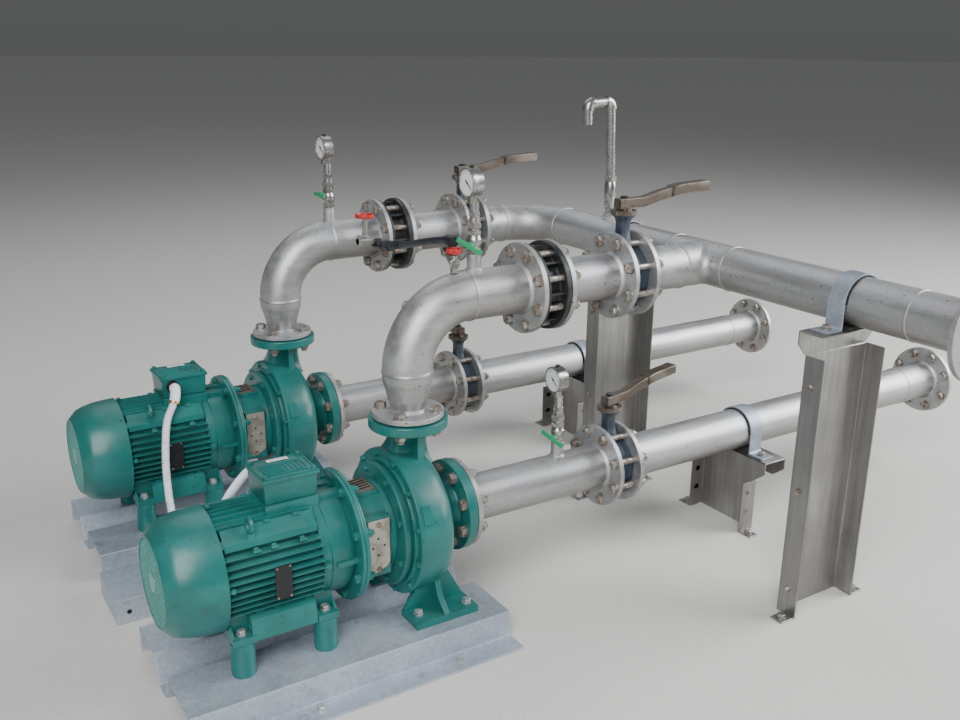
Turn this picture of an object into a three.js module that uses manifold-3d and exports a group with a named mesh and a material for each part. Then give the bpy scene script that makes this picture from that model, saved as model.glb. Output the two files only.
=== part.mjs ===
// Duplex pump set: two close-coupled end-suction pumps on folded base plates, each with a
// suction line and a discharge line in DN100 stainless pipe, joined by one header.
// Millimetres, +Z up. X runs along the pump shafts towards the suction ends, Y from the near
// pump to the far pump. The origin is on the floor, under the middle of the set.
import * as THREE from 'three';
import { mergeVertices } from 'three/addons/utils/BufferGeometryUtils.js';
import Module from 'manifold-3d';

const wasm = await Module();
wasm.setup();

// Driving dimensions.
const LINE_PITCH = 764;          // near shaft to far shaft
const SHAFT_HEIGHT = 275;        // shaft centre over the floor
const DISCHARGE_HEIGHT = 785;    // centre of the discharge pipes and of the header
const HEADER_X = 898;            // centre of the header
const PIPE_R = 57.15;            // DN100 pipe, outside
const PIPE_BORE_R = 54.1;        // DN100 pipe, inside
const FLANGE_R = 107.5;          // DN100 plate flange
const FLANGE_T = 12;
const PUMP_FLANGE_R = 110;       // cast DN100 flange of the pump's suction
const PUMP_FLANGE_T = 24;
const OUTLET_FLANGE_R = 91;      // cast DN65 flange of the pump's outlet
const OUTLET_FLANGE_T = 22;
const REDUCER_FLANGE_R = 82.5;   // DN65 plate flange
const REDUCER_R = 40;            // small end of the reducer
const BEND_R = 152.4;            // long-radius bend, centre line
const BASE_TOP = 66;             // top of the folded base plate
const BASE_START = -594;         // base plate's end under the fan
const BASE_END = 161;
const BASE_SHEET = 5;
const LANTERN_START = -182;      // lantern's flange face on the motor
const COVER_FACE = -85;          // lantern's face on the pump casing
const SUCTION_FACE = 125;        // pump's suction flange face, from the outlet's centre line
const OUTLET_FACE = 250;         // pump's outlet flange face, over the shaft
const SUCTION_VALVE_X = 594;     // stem of a suction valve
const DISCHARGE_VALVE_X = 607;   // stem of a discharge valve
const VALVE_T = 55;              // face to face of a wafer butterfly valve
const LEVER_FOOT = 165;          // underside of a lever, over the pipe's axis
const SUCTION_LEVER_TURN = { near: 12, far: 90 };  // how far each stands closed, in degrees
const LEVER_REACH = 272.8;       // lower corner of a lever's grip, from the stem's axis
const CHECK_FACE = 310;          // check valve's inlet face
const CHECK_T = 68;
const SUCTION_END = 1950;        // face of the suction line's end flange
const STUB_LENGTH = 150;         // last pipe piece with its end flange
const HEADER_END = -790;         // face of the header's end flange
const GASKET = 3;                // gap that a gasket fills
const GAP = 0.3;                 // between pieces that touch
const TOUCH = 0.5;               // how far a joined solid reaches into its neighbour
const FAN_END = -597;
const FRAME_START = -490;        // motor frame's end inside the fan cowl
const FIN_END = -268;            // where the fins end at the smooth drive-end drum
const GLAND = [-338, 165];       // station and height of a terminal box's gland
const GAUGE_X = 428;             // gauge on a suction spool
const DISCHARGE_GAUGE_X = { near: 174, far: 160 };
const DIAL_HEIGHT = { near: 255, far: 263, suction: 263 };
const SOCKET_R = 16.5;           // welded gauge socket
const SOCKET_TOP = PIPE_R + 39;
// Gauge cocks: height over the pipe's axis, and how far the T handle faces the near side and
// leans from level, in degrees.
const COCK = {
  nearSuction: { height: 111, turn: 24, tilt: 25 },
  nearDischarge: { height: 116, turn: 35, tilt: 25 },
  far: { height: 132, turn: 0, tilt: 0 },
};
const SADDLE_DROP = 5;           // saddle under the pipe, where a rubber liner lies
const LOW_STAND_X = 1062;        // web of a low support
const VENT_Y = 405;
const CAP_TOP = DISCHARGE_HEIGHT - PIPE_R - SADDLE_DROP;
const CAP_DEPTH = 69;            // cap of a tall support
const DUCT_START = -615;
const DUCT_TOP = 64;
const DUCT_GLANDS = [[-399, 398], [-399, 452]];
const BONNET_TOP = 20;
const NEAR_VALVE = { x: 122, y: 0, z: DISCHARGE_HEIGHT + 79, turn: -24 };
const FAR_VALVE = { x: 224, y: LINE_PITCH - 99, z: DISCHARGE_HEIGHT + 8 };
const FAR_STEM = 44;             // far stop valve's longer bonnet
const BASE_SIDE = 194;           // base plate's edge beyond the far shaft
const CENTRE_X = (DUCT_START + SUCTION_END) / 2;
const CENTRE_Y = (HEADER_END + LINE_PITCH + LEVER_REACH) / 2;

// Finishes.
function finish(color, roughness, metalness) {
  return new THREE.MeshStandardMaterial({ color, roughness, metalness });
}
const greenPaint = finish(0x2f7f76, 0.38, 0.1);
const stainless = finish(0xb3aea6, 0.35, 0.9);
const galvanised = finish(0xa4abb2, 0.55, 0.7);
const brushedSheet = finish(0x8d8780, 0.4, 0.85);
const blackRubber = finish(0x17181a, 0.6, 0.05);
const valveBlue = finish(0x22303f, 0.5, 0.2);
const greenPlastic = finish(0x16894d, 0.4, 0.0);
const redPlastic = finish(0xb8201d, 0.4, 0.0);
const whitePlastic = finish(0xe4e5e4, 0.5, 0.0);

// A solid of a closed three.js geometry, faces outward.
function solidOf(geometry) {
  const bare = geometry.index ? geometry.toNonIndexed() : geometry.clone();
  bare.deleteAttribute('normal');
  bare.deleteAttribute('uv');
  const merged = mergeVertices(bare, 1e-3);
  const place = merged.attributes.position;
  const corners = [];
  let volume = 0;
  const a = new THREE.Vector3();
  const b = new THREE.Vector3();
  const c = new THREE.Vector3();
  for (let i = 0; i < merged.index.count; i += 3) {
    const [p, q, r] = [0, 1, 2].map((k) => merged.index.getX(i + k));
    if (p === q || q === r || r === p) continue;
    corners.push(p, q, r);
    a.fromBufferAttribute(place, p);
    b.fromBufferAttribute(place, q);
    c.fromBufferAttribute(place, r);
    volume += a.dot(b.cross(c));
  }
  if (volume < 0) corners.reverse();
  return new wasm.Manifold(new wasm.Mesh({
    numProp: 3,
    vertProperties: Float32Array.from(place.array),
    triVerts: Uint32Array.from(corners),
  }));
}

const join = (...solids) => solids.reduce((whole, solid) => whole.add(solid));

// A turned piece: profile points are [station, radius] along the axis x, y or z.
function turned(axis, profile, segments = 20) {
  const points = profile.map(([station, radius]) => new THREE.Vector2(radius, station));
  const geometry = new THREE.LatheGeometry(points, segments);
  if (axis === 'x') geometry.rotateZ(-Math.PI / 2);
  if (axis === 'z') geometry.rotateX(Math.PI / 2);
  return geometry;
}

// A round bar from one station to another, off the axis by the two offsets.
function bar(axis, radius, from, to, offset = [0, 0, 0], segments = 12) {
  const geometry = turned(axis, [[from, 0], [from, radius], [to, radius], [to, 0]], segments);
  return geometry.translate(...offset);
}

// A block from its lowest corner to its highest corner.
function block(low, high) {
  const size = high.map((value, i) => value - low[i]);
  return new THREE.BoxGeometry(...size).translate(...low.map((value, i) => value + size[i] / 2));
}

// A flat outline, given in the plane across the axis, pushed along the axis.
function pushed(axis, outline, from, to, holes = []) {
  const shape = new THREE.Shape(outline.map(([u, v]) => new THREE.Vector2(u, v)));
  for (const hole of holes) shape.holes.push(new THREE.Path(hole.map(([u, v]) => new THREE.Vector2(u, v))));
  const geometry = new THREE.ExtrudeGeometry(shape, { depth: to - from, bevelEnabled: false });
  geometry.translate(0, 0, from);
  const turns = {
    x: new THREE.Matrix4().makeBasis(
      new THREE.Vector3(0, 1, 0), new THREE.Vector3(0, 0, 1), new THREE.Vector3(1, 0, 0)),
    y: new THREE.Matrix4().makeBasis(
      new THREE.Vector3(1, 0, 0), new THREE.Vector3(0, 0, 1), new THREE.Vector3(0, 1, 0)),
    z: new THREE.Matrix4(),
  };
  return geometry.applyMatrix4(turns[axis]);
}

// The outline of a folded sheet: the path is its outer face, the sheet lies on its right.
function folded(path, thickness) {
  const inner = path.map((point, i) => {
    const before = path[Math.max(i - 1, 0)];
    const here = path[i];
    const after = path[Math.min(i + 1, path.length - 1)];
    const sides = [[before, here], [here, after]].filter(([p, q]) => p !== q).map(([p, q]) => {
      const length = Math.hypot(q[0] - p[0], q[1] - p[1]);
      return [(q[1] - p[1]) / length, -(q[0] - p[0]) / length];
    });
    const sum = [0, 1].map((k) => sides.reduce((total, side) => total + side[k], 0) / sides.length);
    const scale = thickness / (sum[0] ** 2 + sum[1] ** 2);
    return [here[0] + sum[0] * scale, here[1] + sum[1] * scale];
  });
  return [...path, ...inner.reverse()];
}

// A round bar that follows a curve.
function followed(curve, radius, sides, steps) {
  const round = new THREE.Shape();
  for (let i = 0; i <= sides; i += 1) {
    const angle = (2 * Math.PI * i) / sides;
    const [u, v] = [radius * Math.cos(angle), radius * Math.sin(angle)];
    if (i === 0) round.moveTo(u, v);
    else if (i < sides) round.lineTo(u, v);
  }
  return new THREE.ExtrudeGeometry(round, { steps, extrudePath: curve, curveSegments: 1 });
}

// A smooth curve through chosen points.
function drawnThrough(points) {
  return new THREE.CatmullRomCurve3(points.map((point) => new THREE.Vector3(...point)), false, 'centripetal');
}

// A quarter bend of a pipe about a centre, from one unit direction to another.
class QuarterBend extends THREE.Curve {
  constructor(centre, startArm, endArm, radius) {
    super();
    Object.assign(this, { centre, startArm, endArm, radius });
  }

  getPoint(t, target = new THREE.Vector3()) {
    const angle = (t * Math.PI) / 2;
    return target.copy(this.centre)
      .addScaledVector(this.startArm, this.radius * Math.cos(angle))
      .addScaledVector(this.endArm, this.radius * Math.sin(angle));
  }
}

function quarterBend(centre, startArm, endArm, radius, pipeRadius, sides = 20, steps = 7) {
  const curve = new QuarterBend(
    new THREE.Vector3(...centre), new THREE.Vector3(...startArm), new THREE.Vector3(...endArm), radius);
  return followed(curve, pipeRadius, sides, steps);
}

// Puts a solid into the set as a named mesh, turned about +Z by so many degrees.
function piece(group, name, solid, material, place = [0, 0, 0], turn = 0) {
  const { vertProperties, triVerts } = solid.getMesh();
  const geometry = new THREE.BufferGeometry();
  geometry.setAttribute('position', new THREE.BufferAttribute(Float32Array.from(vertProperties), 3));
  geometry.setIndex(new THREE.BufferAttribute(Uint32Array.from(triVerts), 1));
  geometry.computeVertexNormals();
  const mesh = new THREE.Mesh(geometry, material);
  mesh.name = name;
  mesh.position.set(...place);
  mesh.rotation.z = THREE.MathUtils.degToRad(turn);
  group.add(mesh);
}

// Base plate: one galvanised sheet folded into two raised tracks with a valley between them.
function basePlate() {
  const track = [
    [-256, BASE_SHEET], [-196, BASE_SHEET], [-191, BASE_TOP], [-33, BASE_TOP], [-6, BASE_SHEET],
    [40, BASE_SHEET], [67, BASE_TOP], [191, BASE_TOP], [BASE_SIDE, 0],
  ];
  return solidOf(pushed('x', folded(track, BASE_SHEET), BASE_START, BASE_END));
}

// The outlet's neck: from the round under the flange it widens to the volute's far side, where
// the water comes round, and a flat rib stiffens it on the near side.
function outletNeck(top) {
  const [topRadius, rootHeight, points] = [40, 138, 16];
  const round = Array.from({ length: points }, (_, i) => {
    const angle = (2 * Math.PI * i) / points;
    return [topRadius * Math.cos(angle), topRadius * Math.sin(angle), top];
  });
  const root = [[-50, -20], [-56, 84], [34, 84], [34, -20]].map(([x, y]) => [x, y, rootHeight]);
  const rib = solidOf(block([-5, -54, rootHeight], [10, -15, top]));
  return wasm.Manifold.hull([...round, ...root]).add(rib);
}

// Pump casing: cover and casing rings, volute, suction and outlet flanges and two ribbed feet.
// Origin on the shaft.
function pumpCasing() {
  const flangeBack = SUCTION_FACE - PUMP_FLANGE_T;
  const outletBack = OUTLET_FACE - OUTLET_FLANGE_T;
  const body = solidOf(turned('x', [
    [COVER_FACE, 0], [COVER_FACE, 145], [-71, 145], [-71, 137], [-66, 137], [-66, 152], [-60, 152],
    [-60, 172], [-50, 172], [18, 164], [31, 156], [40, 136], [48, 112], [54, 84], [68, 64],
    [flangeBack, 62], [flangeBack, PUMP_FLANGE_R], [SUCTION_FACE, PUMP_FLANGE_R], [SUCTION_FACE, 0],
  ], 28));
  const outlet = solidOf(turned('z', [
    [outletBack, 0], [outletBack, OUTLET_FLANGE_R], [OUTLET_FACE, OUTLET_FLANGE_R], [OUTLET_FACE, 0],
  ]));
  const floor = BASE_TOP - SHAFT_HEIGHT + GAP;
  const footTop = floor + 16;
  const feet = [-1, 1].map((side) => {
    const [inner, outer] = [77 * side, 154 * side].sort((p, q) => p - q);
    const sole = solidOf(block([-65, inner, floor], [97, outer, footTop]));
    const rib = solidOf(pushed('x', [
      [side * 151, footTop - TOUCH], [side * 70, footTop - TOUCH], [side * 60, -100],
      [side * 90, -100], [side * 120, footTop + 30],
    ], 9, 23));
    const web = solidOf(pushed('y', [
      [-62, footTop - TOUCH], [94, footTop - TOUCH], [40, -95], [-6, -95],
    ], Math.min(side * 76, side * 90), Math.max(side * 76, side * 90)));
    return join(sole, rib, web);
  });
  return join(body, outletNeck(outletBack + TOUCH), outlet, ...feet);
}

// Lantern between pump and motor, with the guard plates over its two side windows.
function lantern() {
  const drum = solidOf(turned('x', [
    [LANTERN_START, 0], [LANTERN_START, 150], [-172, 150], [-172, 102], [-95, 102], [-95, 106],
    [COVER_FACE - GAP, 106], [COVER_FACE - GAP, 0],
  ], 24));
  const windows = [-1, 1].map((side) => solidOf(block(
    [-158, Math.min(side * 60, side * 107), -66], [-106, Math.max(side * 60, side * 107), 66])));
  return join(drum, ...windows);
}

// The motor's cross-section: parallel fins, level on the sides and upright on top and bottom.
function finOutline() {
  const [root, tip, pitch, half] = [108, 129, 18, 1.8];
  const depth = (radius, level) => Math.sqrt(radius ** 2 - level ** 2);
  const row = (count) => {
    const points = [];
    for (let i = -count; i <= count; i += 1) {
      const [low, high] = [i * pitch - half, i * pitch + half];
      const reach = depth(tip, Math.abs(i * pitch) + half);
      points.push([depth(root, low), low], [reach, low], [reach, high], [depth(root, high), high]);
    }
    return points;
  };
  const side = row(4);
  const crown = row(3);
  return [
    ...side, ...crown.map(([u, v]) => [-v, u]), ...side.map(([u, v]) => [-u, -v]),
    ...crown.map(([u, v]) => [v, -u]),
  ];
}

// Motor frame: finned body, smooth drive-end drum with its flange and a level boss on each
// side, feet and the four spacers under them. Origin on the shaft.
function motorFrame() {
  const face = LANTERN_START - GAP;
  const shield = solidOf(turned('x', [
    [FIN_END - 2, 0], [FIN_END - 2, 100], [FIN_END, 117], [-248, 119], [-206, 119], [-191, 111],
    [-191, 150], [face, 150], [face, 0],
  ], 28));
  const bosses = [-1, 1].map((side) => solidOf(block(
    [-238, Math.min(side * 100, side * 125), -14], [-190, Math.max(side * 100, side * 125), -2])));
  const tail = solidOf(bar('x', 102, FRAME_START, -480, [0, 0, 0], 20));
  const finned = solidOf(pushed('x', finOutline(), -482, FIN_END));
  const boxSeat = solidOf(block([-366, -50, 40], [-246, 50, 132]));
  const floor = BASE_TOP - SHAFT_HEIGHT + GAP;
  const feet = [-1, 1].flatMap((side) => [
    solidOf(pushed('x', [
      [side * 118, -136], [side * 110, -84], [side * 96, -78], [side * 60, -60], [side * 60, -136],
    ], -431, -287)),
    ...[-449, -262].flatMap((x) => [
      solidOf(bar('z', 26, floor, -131, [x, side * 97, 0], 14)),
      solidOf(pushed('x', [
        [side * 60, -132], [side * 118, -132], [side * 118, -116], [side * 86, -116],
        [side * 74, -78], [side * 60, -78],
      ], x - 23, x + 23)),
    ]),
  ]);
  const lugs = [45, 135, 225, 315].map((degrees) => {
    const angle = THREE.MathUtils.degToRad(degrees);
    return solidOf(block([-484, -9, 90], [-470, 9, 131.2]).rotateX(angle));
  });
  return join(shield, finned, tail, boxSeat, ...bosses, ...feet, ...lugs);
}

// Fan cowl: a pressed steel cap with its grille, open towards the frame.
function fanCowl() {
  return solidOf(turned('x', [
    [FAN_END, 0], [FAN_END, 98], [-576, 119], [-532, 133], [-478, 136],
    [-478, 133], [-532, 130], [-574, 116], [FAN_END + 4, 96], [FAN_END + 4, 0],
  ], 28));
}

// Terminal box with its lid, on the seat on top of the frame, and the gland of its conduit on
// the side that faces the cable duct. Origin on the shaft.
function terminalBox(side) {
  const box = solidOf(block([-366, -50, 132 + GAP], [-246, 50, 184]));
  const lid = solidOf(block([-370, -54, 184 - TOUCH], [-240, 54, 195]));
  const reach = [side * 49, side * 66].sort((p, q) => p - q);
  return join(box, lid, solidOf(bar('y', 16, ...reach, [GLAND[0], 0, GLAND[1]])));
}

// Pipe piece on the X axis: each end has a plate flange or is a bare weld end.
function pipePiece(from, to, flangeAtStart, flangeAtEnd, bore = 0) {
  const outside = [[from, PIPE_R], [to, PIPE_R]];
  if (flangeAtStart) {
    outside.splice(0, 1, [from, FLANGE_R], [from + FLANGE_T, FLANGE_R], [from + FLANGE_T, PIPE_R]);
  }
  if (flangeAtEnd) {
    outside.splice(-1, 1, [to - FLANGE_T, PIPE_R], [to - FLANGE_T, FLANGE_R], [to, FLANGE_R]);
  }
  const ring = [[from, bore], ...outside, [to, bore]];
  return turned('x', bore === 0 ? ring : [...ring, [from, bore]]);
}

// Suction spool: flange on the pump, pipe, flange on the valve, gauge boss and drain boss.
function suctionSpool() {
  const start = SUCTION_FACE + GASKET;
  const pipe = solidOf(pipePiece(start, SUCTION_VALVE_X - VALVE_T / 2, true, true));
  const gasket = solidOf(bar('x', 79, SUCTION_FACE + GAP, start + TOUCH, [0, 0, 0], 20));
  const socket = solidOf(bar('z', SOCKET_R, PIPE_R - 8, SOCKET_TOP, [GAUGE_X, 0, 0]));
  const drain = solidOf(bar('z', 13, -PIPE_R - 18, -PIPE_R + 8, [503, 0, 0]));
  return join(pipe, gasket, socket, drain);
}

// Wafer butterfly valve: body between the flanges, neck, notched top plate and stem. Origin
// where the stem's axis meets the pipe's.
function valveBody() {
  const half = VALVE_T / 2 - GAP;
  const body = solidOf(turned('x', [[-half, 0], [-half, 78], [half, 78], [half, 0]]));
  const neck = solidOf(bar('z', 17, 60, 150, [0, 0, 0], 14));
  const plate = solidOf(bar('z', 32, 148, 160, [0, 0, 0], 18));
  const stem = solidOf(bar('z', 9, 159, LEVER_FOOT));
  return join(body, neck, plate, stem);
}

// Valve lever: a channel of pressed sheet, open below, that rises from the stem to a wider
// grip, with the square hub and its cap. It is drawn along +X.
function lever() {
  const [depth, half, gripHalf, sheet] = [24, 12, 16, 3];
  const channel = (line, width, drop) => solidOf(pushed(
    'y', folded(line.map(([u, v]) => [u, v - drop]), depth), -width, width));
  const rise = [[60, 189], [105, 200], [180, 212]];
  const tip = LEVER_REACH - 0.8;
  const outer = join(
    channel([[-22, 189], ...rise, [tip, 215]], half, 0),
    channel([[150, 210], [180, 214], [tip, 217]], gripHalf, 0),
  );
  const inner = join(
    channel([[-19, 189], ...rise, [tip - sheet, 215]], half - sheet, sheet),
    channel([[153, 210.4], [180, 214], [tip - sheet, 216.9]], gripHalf - sheet, sheet),
  );
  const hub = solidOf(block([-half, 1 - half, LEVER_FOOT + GAP], [half, half - 1, 188]));
  const cap = solidOf(bar('z', 8, 187, 194));
  return join(outer.subtract(inner), hub, cap);
}

// Pressure gauge with its ball cock, on the welded socket of a pipe: cock body, union,
// nipple and round case. Its dial faces the fan end. Origin on the stack's foot.
function gauge(dialHeight, cock) {
  const base = SOCKET_TOP + GAP;
  const stack = solidOf(turned('z', [
    [base, 0], [base, 18], [base + 70, 18], [base + 70, 15], [base + 86, 15], [base + 86, 11],
    [dialHeight - 25, 11], [dialHeight - 25, 0],
  ], 12));
  const boss = solidOf(bar('x', 8, -20, 0, [0, 0, cock.height])
    .rotateZ(THREE.MathUtils.degToRad(cock.turn)));
  const dial = solidOf(turned('x', [
    [-22, 0], [-22, 33], [8, 33], [8, 0],
  ], 20).translate(0, 0, dialHeight));
  return join(stack, boss, dial);
}

// T-shaped handle of a gauge cock, on the cock's stem.
function cockHandle({ turn, tilt }) {
  const grip = new THREE.BoxGeometry(6, 66, 12).rotateX(THREE.MathUtils.degToRad(tilt));
  const hub = bar('x', 9, -26, -20 - GAP);
  return join(...[hub, grip.translate(-28, 0, 0)].map((shape) => solidOf(
    shape.rotateZ(THREE.MathUtils.degToRad(turn)))));
}

// Suction pipe behind the valve, and the end stub with the open mouth.
function suctionPipe() {
  return solidOf(pipePiece(SUCTION_VALVE_X + VALVE_T / 2, SUCTION_END - STUB_LENGTH - GAP, true, false));
}

function suctionStub() {
  return solidOf(pipePiece(SUCTION_END - STUB_LENGTH, SUCTION_END, false, true, PIPE_BORE_R));
}

// Low support of a suction pipe: a folded channel on two tabs, with a folded saddle on top.
function lowSupport() {
  const saddleTop = SHAFT_HEIGHT - PIPE_R - SADDLE_DROP;
  const [sheet, half, wing, channelTop] = [4, 99, 133, 152];
  const front = LOW_STAND_X - 48;
  const capEnd = LOW_STAND_X + 84;
  const outline = [[front, -half], [LOW_STAND_X, -half], [LOW_STAND_X, half], [front, half]];
  const channel = solidOf(pushed('z', folded(outline, sheet), 0, channelTop));
  const tabs = [-1, 1].map((side) => solidOf(block(
    [front, Math.min(side * 96, side * 145), 0], [front + 32, Math.max(side * 96, side * 145), sheet])));
  const apron = (from, to) => solidOf(pushed('x', [
    [-wing, saddleTop], [-wing, saddleTop - 34], [5 - half, channelTop - sheet],
    [half - 5, channelTop - sheet], [wing, saddleTop - 34], [wing, saddleTop],
  ], from, to));
  const top = solidOf(block([LOW_STAND_X - TOUCH, -wing, saddleTop - sheet], [capEnd, wing, saddleTop]));
  const aprons = [apron(LOW_STAND_X - TOUCH, LOW_STAND_X + sheet), apron(capEnd - sheet, capEnd)];
  return join(channel, ...tabs, ...aprons, top);
}

// Strap over a pipe, with an ear on each side; the pipe runs along X, origin on its axis.
function strap() {
  const inner = PIPE_R + GAP;
  const outer = inner + 7;
  const reach = 112;
  const foot = -PIPE_R - SADDLE_DROP + GAP;
  const steps = 10;
  const arc = (radius, from, to) => Array.from({ length: steps + 1 }, (_, i) => {
    const angle = from + ((to - from) * i) / steps;
    return [radius * Math.cos(angle), radius * Math.sin(angle)];
  });
  const outline = [
    [reach, foot], [reach, foot + 5], [outer, foot + 5], ...arc(outer, 0, Math.PI),
    [-outer, foot + 5], [-reach, foot + 5], [-reach, foot], [-inner, foot],
    ...arc(inner, Math.PI, 0), [inner, foot],
  ];
  return solidOf(pushed('x', outline, -23, 23));
}

// Discharge bend: flange on the pump, reducer, long-radius bend and pipe to the check valve.
// Origin on the outlet's centre line at the height of the pipe's axis.
function dischargeBend(gaugeX) {
  const start = SHAFT_HEIGHT + OUTLET_FACE + GASKET - DISCHARGE_HEIGHT;
  const riser = solidOf(turned('z', [
    [start - GASKET + GAP, 0], [start - GASKET + GAP, 62], [start, 62], [start, REDUCER_FLANGE_R],
    [start + FLANGE_T, REDUCER_FLANGE_R], [start + FLANGE_T, REDUCER_R], [start + 20, REDUCER_R],
    [-BEND_R - 10, PIPE_R], [-BEND_R + TOUCH, PIPE_R], [-BEND_R + TOUCH, 0],
  ]));
  const bend = solidOf(quarterBend([BEND_R, 0, -BEND_R], [-1, 0, 0], [0, 0, 1], BEND_R, PIPE_R));
  const run = solidOf(pipePiece(BEND_R - TOUCH, CHECK_FACE, false, true));
  const socket = solidOf(bar('z', SOCKET_R, PIPE_R - 8, SOCKET_TOP, [gaugeX, 0, 0]));
  return join(riser, bend, run, socket);
}

// Wafer check valve: two full rims with a waist between them, where the studs show.
function checkValve() {
  const end = CHECK_FACE + CHECK_T;
  const [rim, waist] = [106, 80];
  return solidOf(turned('x', [
    [CHECK_FACE + GAP, 0], [CHECK_FACE + GAP, rim], [CHECK_FACE + 8, rim], [CHECK_FACE + 8, waist],
    [end - 14, waist], [end - 14, rim], [end - GAP, rim], [end - GAP, 0],
  ]));
}

function dischargeSpool() {
  return solidOf(pipePiece(CHECK_FACE + CHECK_T, DISCHARGE_VALVE_X - VALVE_T / 2, true, true));
}

// Stop valve at an end of the bypass pipe: body with a nipple into the pipe, and the bonnet
// under the handwheel. The body lies along its outlet; the origin is its middle.
function stopValve(nipple, back, reach, bonnetTop = BONNET_TOP) {
  const body = solidOf(bar('y', 12, -back, reach));
  const bonnet = solidOf(bar('z', 8, 0, bonnetTop));
  return join(body, bonnet, solidOf(nipple));
}

function handwheel(radius, height) {
  return solidOf(turned('z', [
    [height + GAP, 0], [height + GAP, 6], [height + 3, radius], [height + 11, radius],
    [height + 12, 7], [height + 12, 0],
  ], 18));
}

// Header: branch from each discharge valve, tee, long-radius bend and the run to the stub.
// Origin on the near line's axis at the height of the pipes.
function header() {
  const stubStart = HEADER_END + STUB_LENGTH;
  const valveOut = DISCHARGE_VALVE_X + VALVE_T / 2;
  const farStart = HEADER_X - BEND_R;
  const nearBranch = solidOf(pipePiece(valveOut, HEADER_X, true, false));
  const farBranch = solidOf(pipePiece(valveOut, farStart + TOUCH, true, false).translate(0, LINE_PITCH, 0));
  const bend = solidOf(quarterBend(
    [farStart, LINE_PITCH - BEND_R, 0], [0, 1, 0], [1, 0, 0], BEND_R, PIPE_R));
  const run = solidOf(turned('y', [
    [stubStart + GAP, 0], [stubStart + GAP, PIPE_R], [LINE_PITCH - BEND_R + TOUCH, PIPE_R],
    [LINE_PITCH - BEND_R + TOUCH, 0],
  ]).translate(HEADER_X, 0, 0));
  const ventBoss = solidOf(bar('z', 17, PIPE_R - 8, PIPE_R + 14, [HEADER_X, VENT_Y, 0]));
  return join(nearBranch, farBranch, bend, run, ventBoss);
}

function headerStub() {
  const stubStart = HEADER_END + STUB_LENGTH;
  return solidOf(turned('y', [
    [HEADER_END, PIPE_BORE_R], [HEADER_END, FLANGE_R], [HEADER_END + FLANGE_T, FLANGE_R],
    [HEADER_END + FLANGE_T, PIPE_R], [stubStart, PIPE_R], [stubStart, PIPE_BORE_R],
    [HEADER_END, PIPE_BORE_R],
  ]).translate(HEADER_X, 0, 0));
}

// Air vent: ball valve, then a riser and gooseneck of DN20 pipe that lean a little.
function ventStack() {
  const [pipe, fitting, span, lean] = [13.4, 17, 84, -3.2];
  const base = PIPE_R + 14 + GAP;
  const [pivot, top] = [base + 100, base + 318];
  const body = solidOf(turned('z', [
    [base, 0], [base, pipe], [base + 18, pipe], [base + 18, 18], [base + 34, 18], [base + 36, fitting],
    [base + 92, fitting], [base + 94, 18], [base + 110, 18], [base + 110, 0],
  ], 14));
  const gooseneck = [
    bar('z', pipe, pivot, top),
    bar('z', fitting, top - 14, top + 20),
    bar('x', pipe, -span, 0, [0, 0, top + 4]),
    bar('z', pipe, top - 54, top + 8, [-span, 0, 0]),
    bar('z', fitting, top - 12, top + 20, [-span, 0, 0]),
  ].map((shape) => solidOf(shape.translate(0, 0, -pivot).rotateY(THREE.MathUtils.degToRad(lean))
    .translate(0, 0, pivot)));
  return join(body, ...gooseneck);
}

// Tall support of the header: folded channel, open towards -Y, and the cap welded to its web.
// Origin on the floor under the header, at the web's back.
function tallSupport() {
  const sheet = 4;
  const half = 107;
  const webTop = CAP_TOP - 62;
  const channel = solidOf(pushed('z', folded(
    [[-half, -60], [-half, -4], [half, -4], [half, -60]], sheet), 0, webTop));
  const tabs = [-1, 1].map((side) => solidOf(block(
    [Math.min(side * (half - 4), side * 150), -58, 0], [Math.max(side * (half - 4), side * 150), -22, 4])));
  const apron = solidOf(pushed('y', [
    [-133, CAP_TOP], [-133, CAP_TOP - 33], [-half, webTop - TOUCH], [half, webTop - TOUCH],
    [133, CAP_TOP - 33], [133, CAP_TOP],
  ], -4 - TOUCH, 0));
  const top = solidOf(block([-133, -CAP_DEPTH, CAP_TOP - sheet], [133, 0, CAP_TOP]));
  return join(channel, ...tabs, apron, top);
}

// Cable duct on the floor between the pumps: a folded galvanised cover with a closed end, and
// the glands where the conduits enter.
function cableDuct() {
  const path = [[326, 0], [326, DUCT_TOP], [490, DUCT_TOP], [490, 0]];
  const cover = solidOf(pushed('x', folded(path, 3), DUCT_START, -300));
  const end = solidOf(block([DUCT_START, 326, 0], [DUCT_START + 3, 490, DUCT_TOP]));
  const glands = DUCT_GLANDS.map(([x, y]) => solidOf(bar('z', 15, DUCT_TOP - 2, DUCT_TOP + 20, [x, y, 0])));
  return join(cover, end, ...glands);
}

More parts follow.
